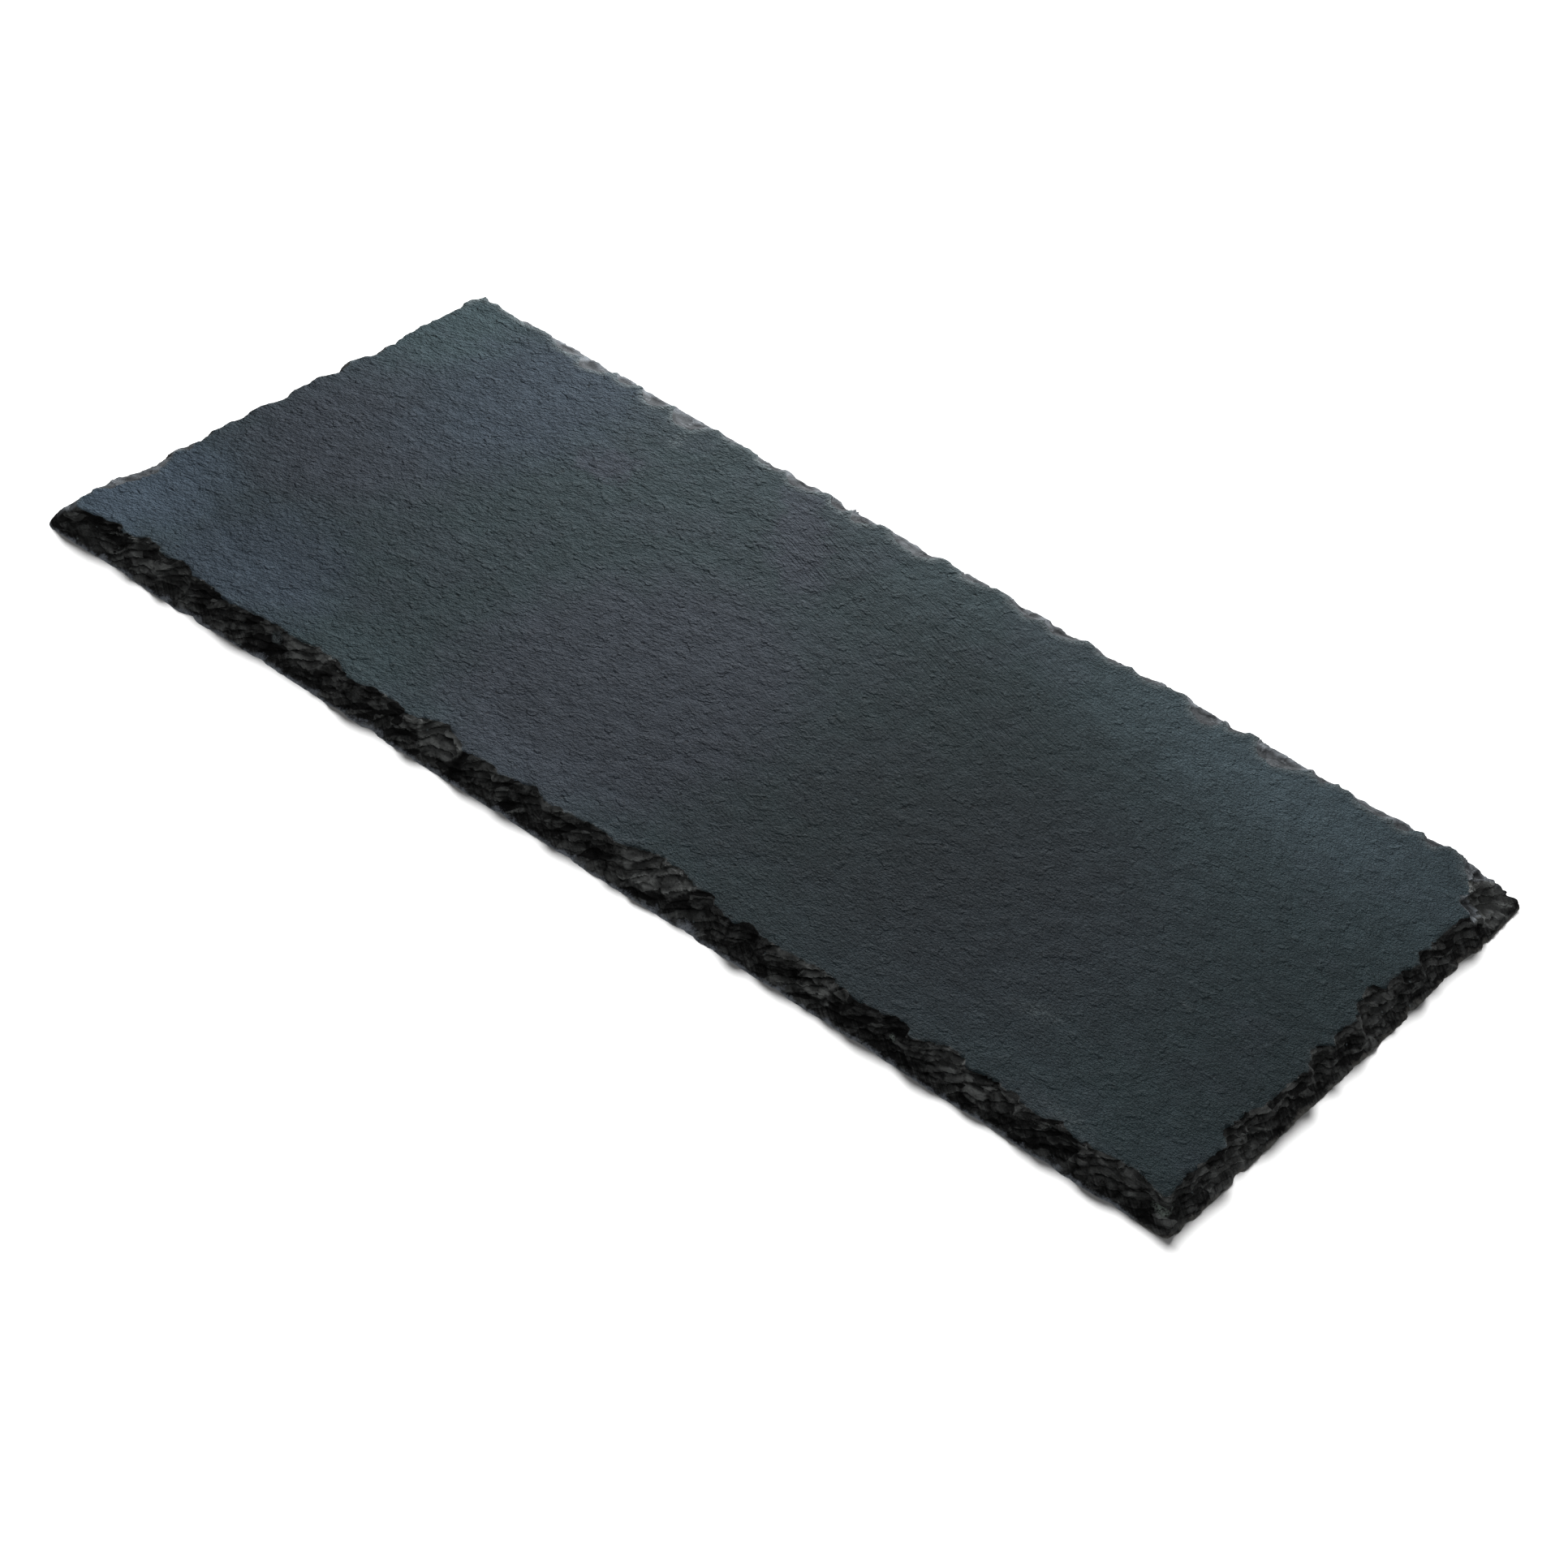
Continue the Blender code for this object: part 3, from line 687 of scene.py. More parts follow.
def slab_mesh():
    stations = EdgeStations(EDGE_STEP, CORNER_STEPS)
    rings = edge_rings(stations, EDGE_RINGS)
    ring_points = np.concatenate(rings)
    rim, foot = rings[-1], rings[0]
    upper_inside, upper_away = inner_points(rim[:, :2], FACE_STEP, FACE_MARGIN)
    under_inside, under_away = inner_points(foot[:, :2], UNDERSIDE_STEP, UNDERSIDE_MARGIN)
    upper = np.column_stack([upper_inside, face_height(upper_inside[:, 0], upper_inside[:, 1])])
    under = np.column_stack([under_inside, np.zeros(len(under_inside))])
    points = np.concatenate([ring_points, upper, under])

    count = stations.count
    sides, station_of = edge_triangles(points, EDGE_RINGS, count)
    last_ring = np.arange(count) + EDGE_RINGS * count
    upper_index = np.concatenate([last_ring, len(ring_points) + np.arange(len(upper))])
    under_start = len(ring_points) + len(upper)
    under_index = np.concatenate([np.arange(count), under_start + np.arange(len(under))])
    top = upper_index[filled(rim[:, :2], upper_inside)]
    bottom = under_index[filled(foot[:, :2], under_inside)[:, ::-1]]

    spots = np.concatenate([
        strip_map(stations, rings, sides, station_of),
        points[top][:, :, :2] + (LENGTH / 2 + SHEET_GAP, WIDTH / 2 + SHEET_GAP),
        (points[bottom][:, :, :2] + (LENGTH / 2, WIDTH / 2)) * UNDERSIDE_SCALE
        + (SHEET_GAP, 5 * SHEET_GAP + WIDTH + 3 * STRIP_HEIGHT),
    ])
    zone = np.repeat([EDGE, UPPER, UNDER], [len(sides), len(top), len(bottom)])
    finish = np.concatenate([stations.finish(ring) for ring in rings])
    finish = np.column_stack([finish, relief(rings, stations).ravel()])
    finish = np.concatenate([finish, np.zeros((len(points) - len(finish), finish.shape[1]))])
    grain = np.zeros(len(points))
    grain[last_ring] = RIM_SHARE
    grain[len(ring_points):under_start] = np.clip(upper_away / RIM_BAND, RIM_SHARE, 1)
    grain[under_start:] = np.clip(under_away / RIM_BAND, 0, 1)
    rim_line = np.zeros(len(points))
    rim_line[last_ring] = 1

    low, high = (np.array(corner) / MM for corner in solid_box)
    points = np.clip(points, low, high)
    triangles = np.concatenate([sides, top, bottom])
    used, triangles = np.unique(triangles, return_inverse=True)
    triangles = triangles.reshape(-1, 3)
    data = bpy.data.meshes.new("slate_slab")
    data.from_pydata((points[used] * MM).tolist(), [], triangles.tolist())
    sheet = data.uv_layers.new(name="OFBake")
    sheet.uv.foreach_set("vector", (spots / SHEET).ravel())
    layers = dict(zip(("tone", "blue", "shard", "crack", "layer", "relief"), finish[used].T))
    layers.update(grain=grain[used], rim=rim_line[used])
    for name, values in layers.items():
        data.attributes.new(name, "FLOAT", "POINT").data.foreach_set("value", np.ascontiguousarray(values))
    data.attributes.new("zone", "INT", "FACE").data.foreach_set("value", zone)
    return data


# -------- building node trees


class Value:
    """A node's output. A sum or product of values is a new node of the same tree."""

    def __init__(self, socket):
        self.socket = socket
        self.tree = socket.id_data

    def __add__(self, other):
        return maths("ADD", self, other)

    def __sub__(self, other):
        return maths("SUBTRACT", self, other)

    def __rsub__(self, other):
        return maths("SUBTRACT", other, self)

    def __mul__(self, other):
        return maths("MULTIPLY", self, other)

    def __truediv__(self, other):
        return maths("DIVIDE", self, other)

    def __rtruediv__(self, other):
        return maths("DIVIDE", other, self)

    __radd__ = __add__
    __rmul__ = __mul__


def give(socket, value):
    """Joins an input to a value, or sets it to a constant."""
    if isinstance(value, Value):
        value.tree.links.new(value.socket, socket)
    else:
        socket.default_value = value


def add(tree, kind, inputs=None, **settings):
    """A new node with these settings and inputs. Gives its outputs, by number and by name."""
    node = tree.nodes.new(kind)
    for name, value in settings.items():
        setattr(node, name, value)
    for name, value in (inputs or {}).items():
        give(node.inputs[name], value)
    outputs = [Value(socket) for socket in node.outputs]
    return dict(enumerate(outputs)) | {output.socket.name: output for output in outputs}


def maths(operation, *values):
    """A math node. It is one for vectors where the first of its values is a vector."""
    first = next(value for value in values if isinstance(value, Value))
    kind = "ShaderNodeVectorMath" if first.socket.type in ("VECTOR", "RGBA") else "ShaderNodeMath"
    outputs = add(first.tree, kind, dict(enumerate(values)), operation=operation)
    return outputs["Value" if operation in ("LENGTH", "DOT_PRODUCT") else 0]


def highest(*values):
    return reduce(lambda first, second: maths("MAXIMUM", first, second), values)


def scaled(vector, factor):
    return add(vector.tree, "ShaderNodeVectorMath", {0: vector, "Scale": factor}, operation="SCALE")[0]


def axes(vector):
    return add(vector.tree, "ShaderNodeSeparateXYZ", {0: vector})


def joined(tree, *parts):
    """A vector of three parts."""
    return add(tree, "ShaderNodeCombineXYZ", dict(enumerate(parts)))[0]


def attribute(tree, name):
    return add(tree, "ShaderNodeAttribute", attribute_name=name)["Fac"]


def blended(share, low, high, blend="MIX"):
    """A colour between two, by share."""
    tree = next(value.tree for value in (share, low, high) if isinstance(value, Value))
    colours = {0: share, 6: low, 7: high}  # the inputs of that node which are for colours
    return add(tree, "ShaderNodeMix", colours, data_type="RGBA", blend_type=blend)[2]


def shaded(colour, factor):
    """The colour made darker or lighter."""
    grey = add(factor.tree, "ShaderNodeCombineColor", dict.fromkeys(range(3), factor))[0]
    return blended(1.0, colour, grey, blend="MULTIPLY")


def spread(value, low, high, to_low=0.0, to_high=1.0, smooth=False):
    """The value's range from low to high stretched over another."""
    inputs = {"Value": value, "From Min": low, "From Max": high, "To Min": to_low, "To Max": to_high}
    kind = "SMOOTHSTEP" if smooth else "LINEAR"
    return add(value.tree, "ShaderNodeMapRange", inputs, interpolation_type=kind)["Result"]


def cloud(place, size, detail=2.0, rough=0.5, output="Fac"):
    """Noise from 0 to 1 with bumps of that size, from coordinates in millimetres."""
    inputs = {"Vector": place, "Scale": 1 / size, "Detail": detail, "Roughness": rough}
    return add(place.tree, "ShaderNodeTexNoise", inputs)[output]


def cells(place, spacing):
    """How far away the middle of each cell is, and the cell's random colour."""
    found = add(place.tree, "ShaderNodeTexVoronoi", {"Vector": place, "Scale": 1.0 / spacing})
    return found["Distance"] * spacing, found["Color"]


def astray(place, size, reach):
    """The place moved about, by bumps of that size."""
    return place + scaled(cloud(place, size, detail=3.0, output="Color") - (0.5, 0.5, 0.5), reach)


def turned_back(place, turn):
    """The place as seen from axes that are turned in plan."""
    inputs = {"Vector": place, "Angle": turn * -1.0}
    return add(place.tree, "ShaderNodeVectorRotate", inputs, rotation_type="Z_AXIS")[0]


def grain_height(place, length, width, turn, detail):
    """Riven grain from 0 to 1: dimples longer than they are wide, turned from the slab's length."""
    stretched = turned_back(place, turn) / joined(place.tree, length, width, length)
    inputs = {"Vector": stretched, "Scale": 1.0, "Detail": detail, "Roughness": 0.55, "Distortion": 0.4}
    return add(place.tree, "ShaderNodeTexNoise", inputs)["Fac"]


def turned_grain(place, left_size, right_size, detail):
    """Riven grain whose size and direction change from the left of the slab to its right."""
    left = grain_height(place, *left_size, LEFT_TURN, detail)
    right = grain_height(place, *right_size, RIGHT_TURN, detail)
    return left + (right - left) * spread(axes(place)["X"], *TURN_OVER, smooth=True)


def group(name, kind, inputs, outputs):
    """An empty node group. Each input has a value, or a socket's type where it has none to give."""
    tree = bpy.data.node_groups.new(name, kind)
    for label, value in inputs.items():
        socket = value if isinstance(value, str) else "Vector" if isinstance(value, tuple) else "Float"
        made = tree.interface.new_socket(label, in_out="INPUT", socket_type="NodeSocket" + socket)
        if value != socket:
            made.default_value = value
    for label, socket in outputs.items():
        tree.interface.new_socket(label, in_out="OUTPUT", socket_type="NodeSocket" + socket)
    return tree, add(tree, "NodeGroupInput"), tree.nodes.new("NodeGroupOutput").inputs


# -------- the riven grain, in geometry nodes

# The grain's sizes, in millimetres.
GRAIN = {
    "Dimple length": 4.5,
    "Dimple width": 3.2,
    "Dimple depth": 0.3,
    "Ripple length": 11.0,
    "Ripple depth": 0.16,
    "Pit spacing": 13.0,
    "Pit width": 2.6,
    "Pit depth": 0.3,
    "Underside share": 0.6,
}
DIMPLE_RIM = 0.75  # the height, from 0 to 1, above which the noise leaves no dimple
# Where along the slab it turns, and where it grows smoother and by how much.
LEFT_TURN = math.radians(16)
RIGHT_TURN = math.radians(-26)
TURN_OVER = (-70.0, 40.0)
SMOOTH_OVER = (20.0, 120.0, 1.0, 0.45)


def riven_grain_tree():
    """Sinks the slab's faces by the riven grain, and gives each zone its material."""
    geometry = {"Geometry": "Geometry"}
    materials = dict.fromkeys(("Riven face", "Broken edge", "Underside"), "Material")
    tree, given, result = group("riven grain", "GeometryNodeTree", geometry | GRAIN | materials, geometry)
    place = scaled(add(tree, "GeometryNodeInputPosition")[0], 1 / MM)
    size = given["Dimple length"], given["Dimple width"]
    coarse = spread(axes(place)["X"], *SMOOTH_OVER, smooth=True)
    dimples = highest((DIMPLE_RIM - turned_grain(place, size, size, 2.0)) * given["Dimple depth"], 0.0)
    ripples = cloud(place, given["Ripple length"], detail=1.0) * given["Ripple depth"]
    away, _ = cells(place, given["Pit spacing"])
    pits = spread(away, given["Pit width"], 0.0, smooth=True) * given["Pit depth"]
    share = add(tree, "GeometryNodeInputNamedAttribute", {"Name": "grain"}, data_type="FLOAT")[0]
    sunk = ((dimples + pits) * coarse + ripples) * share
    # the upper face sinks, and the underside is hollowed upwards
    on_top = maths("GREATER_THAN", axes(place)["Z"], THICKNESS / 2)
    direction = given["Underside share"] - on_top * (given["Underside share"] + 1.0)
    offset = scaled(joined(tree, 0.0, 0.0, sunk * direction), MM)
    moved = add(tree, "GeometryNodeSetPosition", {"Geometry": given["Geometry"], "Offset": offset})[0]
    whole = add(tree, "GeometryNodeRealizeInstances", {"Geometry": moved})[0]
    zone = add(tree, "GeometryNodeInputNamedAttribute", {"Name": "zone"}, data_type="INT")[0]
    for number, label in zip((UPPER, EDGE, UNDER), materials):
        numbers = {2: zone, 3: number}  # the inputs of that node which are for whole numbers
        same = add(tree, "FunctionNodeCompare", numbers, data_type="INT", operation="EQUAL")[0]
        inputs = {"Geometry": whole, "Selection": same, "Material": given[label]}
        whole = add(tree, "GeometryNodeSetMaterial", inputs)[0]
    give(result["Geometry"], whole)
    return tree


def set_inputs(modifier, values):
    """Sets a geometry nodes modifier's inputs by their sockets' identifiers."""
    for item in modifier.node_group.interface.items_tree:
        if item.item_type == "SOCKET" and item.in_out == "INPUT" and item.name in values:
            modifier[item.identifier] = values[item.name]


def baked(piece):
    """Turns the piece's evaluated result into its plain mesh."""
    graph = bpy.context.evaluated_depsgraph_get()
    data = bpy.data.meshes.new_from_object(piece.evaluated_get(graph))
    piece.modifiers.clear()
    piece.data = data
    data.name = piece.name
    return piece


# -------- finishes shared by the materials


def shader_group(name, inputs, *outputs):
    """An empty group for the materials. It works from coordinates in millimetres."""
    return group(name, "ShaderNodeTree", {"Vector": "Vector"} | inputs, dict.fromkeys(outputs, "Float"))


@cache
def stone_grain_group():
    """The stone's own grain: a tone and a height."""
    tree, given, result = shader_group("stone grain", {"Grain size": 0.9}, "Tone", "Height")
    fine = cloud(given["Vector"], given["Grain size"], detail=3.0, rough=0.65)
    broad = cloud(given["Vector"], given["Grain size"] * 5.0)
    give(result["Tone"], fine * 0.65 + broad * 0.35)
    give(result["Height"], fine)
    return tree


@cache
def stain_group():
    """A soft oval patch. It is 1 out to its radii less the softness, and 0 past them and it."""
    inputs = {"Centre": (0, 0, 0), "Radii": (10, 10, 1000), "Turn": 0.0, "Softness": 0.4}
    tree, given, result = shader_group("stain", inputs, "Stain")
    local = turned_back(given["Vector"] - given["Centre"], given["Turn"])
    away = maths("LENGTH", local / given["Radii"])
    give(result["Stain"], spread(away, 1.0 + given["Softness"], 1.0 - given["Softness"], smooth=True))
    return tree


@cache
def specks_group():
    """Scattered specks, in that share of the cells."""
    inputs = {"Spacing": 6.0, "Speck size": 0.5, "Share": 0.2}
    tree, given, result = shader_group("mineral specks", inputs, "Specks")
    away, colour = cells(given["Vector"], given["Spacing"])
    chance = add(tree, "ShaderNodeSeparateColor", {0: colour})[0]
    near = spread(away, given["Speck size"], given["Speck size"] * 0.4)
    give(result["Specks"], near * maths("LESS_THAN", chance, given["Share"]))
    return tree


@cache
def flakes_group():
    """Flat flakes of broken stone: a tone and a height for each."""
    inputs = {"Width": 5.0, "Thickness": 2.0}
    tree, given, result = shader_group("broken flakes", inputs, "Tone", "Height")
    place = given["Vector"] / joined(tree, given["Width"], given["Width"], given["Thickness"])
    found = add(tree, "ShaderNodeTexVoronoi", {"Vector": place, "Scale": 1.0})
    tone = add(tree, "ShaderNodeSeparateColor", {0: found["Color"]})[0]
    slant = maths("DOT_PRODUCT", found["Color"] - (0.5, 0.5, 0.5), place - found["Position"])
    give(result["Tone"], tone)
    give(result["Height"], tone * 0.4 + slant)
    return tree


@cache
def crushed_rim_group():
    """Stone crushed pale along the rim, in broken lengths."""
    tree, given, result = shader_group("crushed rim", {"Amount": 0.5}, "Crushed")
    lengths = spread(cloud(given["Vector"], 5.0, detail=3.0), 0.45, 0.65)
    near = spread(attribute(tree, "rim"), 0.3, 1.0)
    give(result["Crushed"], near * lengths * given["Amount"])
    return tree


def placed(made, place, **inputs):
    """One use of a group. Its inputs' names are given with _ for a space."""
    given = {name.replace("_", " "): value for name, value in inputs.items()}
    return add(place.tree, "ShaderNodeGroup", {"Vector": place} | given, node_tree=made)


# -------- materials

# Colours, linear.
SEA_GREEN = (0.0302, 0.0485, 0.0552, 1)
VIOLET = (0.0410, 0.0518, 0.0668, 1)
# STEEL_BLUE, lighter than the other hues, is partly painted sheen: it lies on the left of the face, where
# the light's sheen falls.
STEEL_BLUE = (0.042, 0.060, 0.080, 1)
PALE = (0.16, 0.19, 0.20, 1)
COAL = (0.0125, 0.0127, 0.0128, 1)
WARM_GREY = (0.166, 0.174, 0.171, 1)
BLUE_GREY = (0.165, 0.180, 0.196, 1)
MINERAL = (0.35, 0.42, 0.38, 1)
PALE_FOOT = (0.34, 0.375, 0.43, 1)
WARM_PALE_FOOT = (0.20, 0.195, 0.18, 1)

# Stains: (x, y), (half length, half width), turn in degrees, softness, strength. First the stains
# of another hue on the upper face.
VIOLET_STAINS = [
    ((-165, 0), (34, 44), 0, 0.5, 1.0),
    ((-30, -36), (46, 66), 0, 0.3, 1.0),
    ((-107, 50), (9, 8), 0, 0.4, 1.0),
    ((-42, 65), (30, 9), -55, 0.5, 1.0),
    ((100, -32), (42, 58), 0, 0.6, 0.5),
    ((148, 82), (75, 34), 0, 0.8, 0.25),
]
# The blue stains are partly a hue of the stone and partly painted sheen on the left of the face.
BLUE_STAINS = [
    ((-145, 58), (26, 48), 0, 0.5, 1.0),
    ((-140, -74), (26, 28), 0, 0.5, 1.0),
    ((-187, -70), (24, 32), 0, 0.5, 1.0),
]
# Where the face is lighter, and where it is darker.
LIGHTER = [
    ((140, 62), (70, 36), 0, 0.8, 0.36),
    ((70, 82), (70, 20), 0, 0.8, 0.36),
    ((145, 94), (95, 36), 0, 0.9, 0.42),
    ((168, 0), (58, 90), 0, 0.7, 0.26),
    ((-188, 66), (17, 36), 0, 0.6, 0.45),
    ((-188, -72), (20, 34), 0, 0.6, 0.55),
    ((-125, -90), (95, 20), 0, 0.7, 0.36),
    ((35, -90), (95, 18), 0, 0.7, 0.26),
    ((172, -84), (44, 24), 0, 0.7, 0.30),
    ((-92, 0), (42, 100), 0, 0.7, 0.12),
    ((78, -20), (44, 34), 0, 0.7, -0.16),
]
# Pale scratches and rubbed places.
RUBS = [
    ((157, -27), (2.4, 0.8), -20, 0.5, 1.0),
    ((156, -90), (9, 4), 0, 0.9, 1.0),
    ((130, -60), (6, 3), 20, 0.9, 1.0),
    ((-101, 78), (2.0, 5.0), 10, 0.8, 1.0),
]
# Where the face has fine parallel streaks.
STREAKY = [
    ((50, 52), (62, 34), -10, 0.6, 1.0),
    ((-30, 66), (26, 20), 0, 0.7, 1.0),
]
STREAK_SIZE = (7.0, 0.8)
STREAK_TURN = math.radians(-24)
STREAK_RELIEF = 1.7
STAINS_REACH_DOWN = 1000.0
STAINS_STRAY = (9.0, 22.0)  # the size of the bends in a stain's border, and how far they go
# Along the slab, where it is painted darker towards the right, as shade where the light falls off, and how
# dark.
DARK_OVER = (0.0, 40.0, 1.0, 0.88)
# Over this span in Y the rim turns pale.
PALE_FAR_RIM_OVER = (80.0, 88.0)

# The face's relief that is only shaded, in parts of GRAIN_RELIEF. Its lumps and dashes: (length,
# width) on the left, and on the right.
GRAIN_RELIEF = 1.65 * MM
FACE_GRAIN = 0.9
LUMPS = (1.5, 1.15), (1.0, 0.8)
DASHES = (2.1, 0.75), (1.5, 0.55)
DASH_DEPTH = 0.16
PIT_RELIEF = 0.45
LEDGE_COUNT = 7.0  # the low ledges in the range of their noise
LEDGE_RELIEF = 0.09
RISER = 0.22  # the share of a ledge's depth that slopes
# Along the slab, how the coarse relief gives way to the finest.
FINE_OVER = (15.0, 60.0)
COARSE_RELIEF = (1.75, 1.6)
FINEST_RELIEF = (0.5, 0.8)

# Specks and pits: their spacing, their size and the share of the cells that have one. Then how
# strong the pale specks are, and the stone that is crushed along the rim.
FACE_SPECKS = (7.0, 0.55, 0.12)
FACE_PITS = (4.2, 0.8, 0.28)
EDGE_SPECKS = (3.4, 0.45, 0.2)
FACE_PALE = (0.3, 0.4)
EDGE_PALE = (0.9, 0.35)

# How a mask's range is spread over another: from low and high, to low and high.
VIOLET_DRIFT = (0.5, 0.62)
BLUE_DRIFT = (0.56, 0.7)
GRAIN_SHADE = (0.3, 0.7, 0.86, 1.14)
# PIT_SHADE darkens the colour of the pits: painted shade in them.
PIT_SHADE = (0.0, 1.0, 1.0, 0.6)
FACE_ROUGHNESS = (0.3, 0.7, 0.84, 0.74)
EDGE_ROUGHNESS = (0.3, 0.7, 0.9, 0.7)
RUB_GRAIN = (0.4, 0.65, 0.0, 0.5)
PALE_FAR_RIM_FADE = (1.0, 0.4)
PALE_FAR_RIM_PATCHES = (0.35, 0.6, 0.3, 0.85)
DASH_MASK = (0.54, 0.66)
PATCHY_RELIEF = (0.35, 0.65, 0.6, 1.3)
LEDGE_MASK = (0.58, 0.68)
STREAK_PATCHES = (0.3, 0.6, 0.5, 1.0)
CREVICE_WIDTH = (0.46, 0.62, 0.0, 0.42)
FINE_CREVICE_WIDTH = (0.56, 0.7, 0.0, 0.35)
# CREVICE_SHADE is how dark the painted shadow in the crevices is, and PALE_CREVICES how little of it is
# left on pale stone.
CREVICE_SHADE = (0.0, 1.0, 1.0, 0.12)
PALE_CREVICES = (0.3, 1.0, 1.0, 0.15)
# LIP_HEIGHT and LIP_PATCHES place the painted highlights on the lips of the ledges.
LIP_HEIGHT = (0.13, 0.04)
LIP_PATCHES = (0.45, 0.6)
# painted shade in the hollows of the broken edge and painted light on its ridges, by their relief
RELIEF_PAINTED_SHADE = (0.1, 0.8, 0.5, 1.4)
PALE_STONE = (0.2, 0.8)
SCAR_MOTTLE = (-0.4, 0.3, 0.5, 1.0)
MINERAL_GRAIN = (0.42, 0.55)

# The broken edge: its grain, the (width, thickness) of its flakes, and how their borders stray.
EDGE_GRAIN = 0.4
LARGE_FLAKES = (6.5, 2.4)
SMALL_FLAKES = (1.8, 0.8)
FLAKES_STRAY = (2.6, 1.6)
# Its tone: the part from its chip, the least, and how far flakes large and small, shards and grain
# change it.
CHIP_TONE = 0.75
LEAST_TONE = 0.1
TONE_SHARES = (0.75, 0.1, 0.35, 1.1)
CREVICE_TOP = 0.97  # how far up its layer each crevice starts, as a share of the layer
FINE_LAYERS = 2.3  # the fine layers in each layer
# the fine crevices' painted shadow, beside that of the others
FINE_CREVICES = 0.6  # how dark they are beside the others
# how strong the painted highlights on the ledges' lips are
LIP_HIGHLIGHT = 0.9
LARGE_RELIEF = 1.8
SMALL_RELIEF = 0.5
CREVICE_RELIEF = 0.4
SCORE_STRETCH = 0.15  # how little the shade of the tool scores changes with height
FACE_GLOSS = 0.11
EDGE_GLOSS = 0.12
# The heights between which the pale scars of the far side and the left end give way to dark stone,
# and how dark that is. This is painted light and shade: the shallow scars at the top, which face
# the light, are painted pale, and the steep stone below them, in shade, is painted dark.
SCAR_FOOT = 3.8
SCAR_TOP = 6.0
SCAR_FADE = 1.4
SCAR_FALL = 0.72
SCAR_RAGGED = 1.6
# The paler band at the foot: the heights at which it ends and is whole, and where in X it turns warm.
PALE_FOOT_OVER = (0.9, -0.2)
PALE_FOOT_SHARE = 0.85
PALE_FOOT_RAGGED = 3.0
WARM_PALE_FOOT_OVER = (184.0, 191.0)
# Pale minerals and a pale flake in the broken edge: their middles, half sizes and colours.
MINERALS = [
    ((192.5, -95.5, 4.6), (2.4, 4.0, 1.3), MINERAL),
    ((107.5, -97.5, 5.0), (1.2, 4.0, 0.8), MINERAL),
    ((-113.0, -95.0, 6.2), (1.9, 4.0, 1.7), PALE),
]


def new_material(name):
    material = bpy.data.materials.new(name)
    material.use_nodes = True
    tree = material.node_tree
    return material, tree, tree.nodes["Principled BSDF"].inputs


def millimetres(tree):
    """Object coordinates in millimetres."""
    return scaled(add(tree, "ShaderNodeTexCoord")["Object"], 1 / MM)


def each_stain(place, table):
    """Every stain of a table, at its strength."""
    for centre, radii, turn, softness, strength in table:
        one = placed(stain_group(), place, Centre=(*centre, 0), Radii=(*radii, STAINS_REACH_DOWN),
                     Turn=math.radians(turn), Softness=softness)
        yield one["Stain"] * strength


def stains(place, table):
    """The strongest of a table's stains."""
    return highest(*each_stain(place, table))


def specks(place, spacing, size, share):
    return placed(specks_group(), place, Spacing=spacing, Speck_size=size, Share=share)["Specks"]


def pale_marks(place, sizes, strength, amount):
    """Pale specks, and the rim where it is crushed."""
    crushed = placed(crushed_rim_group(), place, Amount=amount)["Crushed"]
    return highest(specks(place, *sizes) * strength, crushed)


def bump(height, relief):
    return add(height.tree, "ShaderNodeBump", {"Height": height, "Strength": 1.0, "Distance": relief})[0]


def stepped(value):
    """The value in steps with short risers."""
    return maths("FLOOR", value) + spread(maths("FRACT", value), 0.0, RISER, smooth=True)


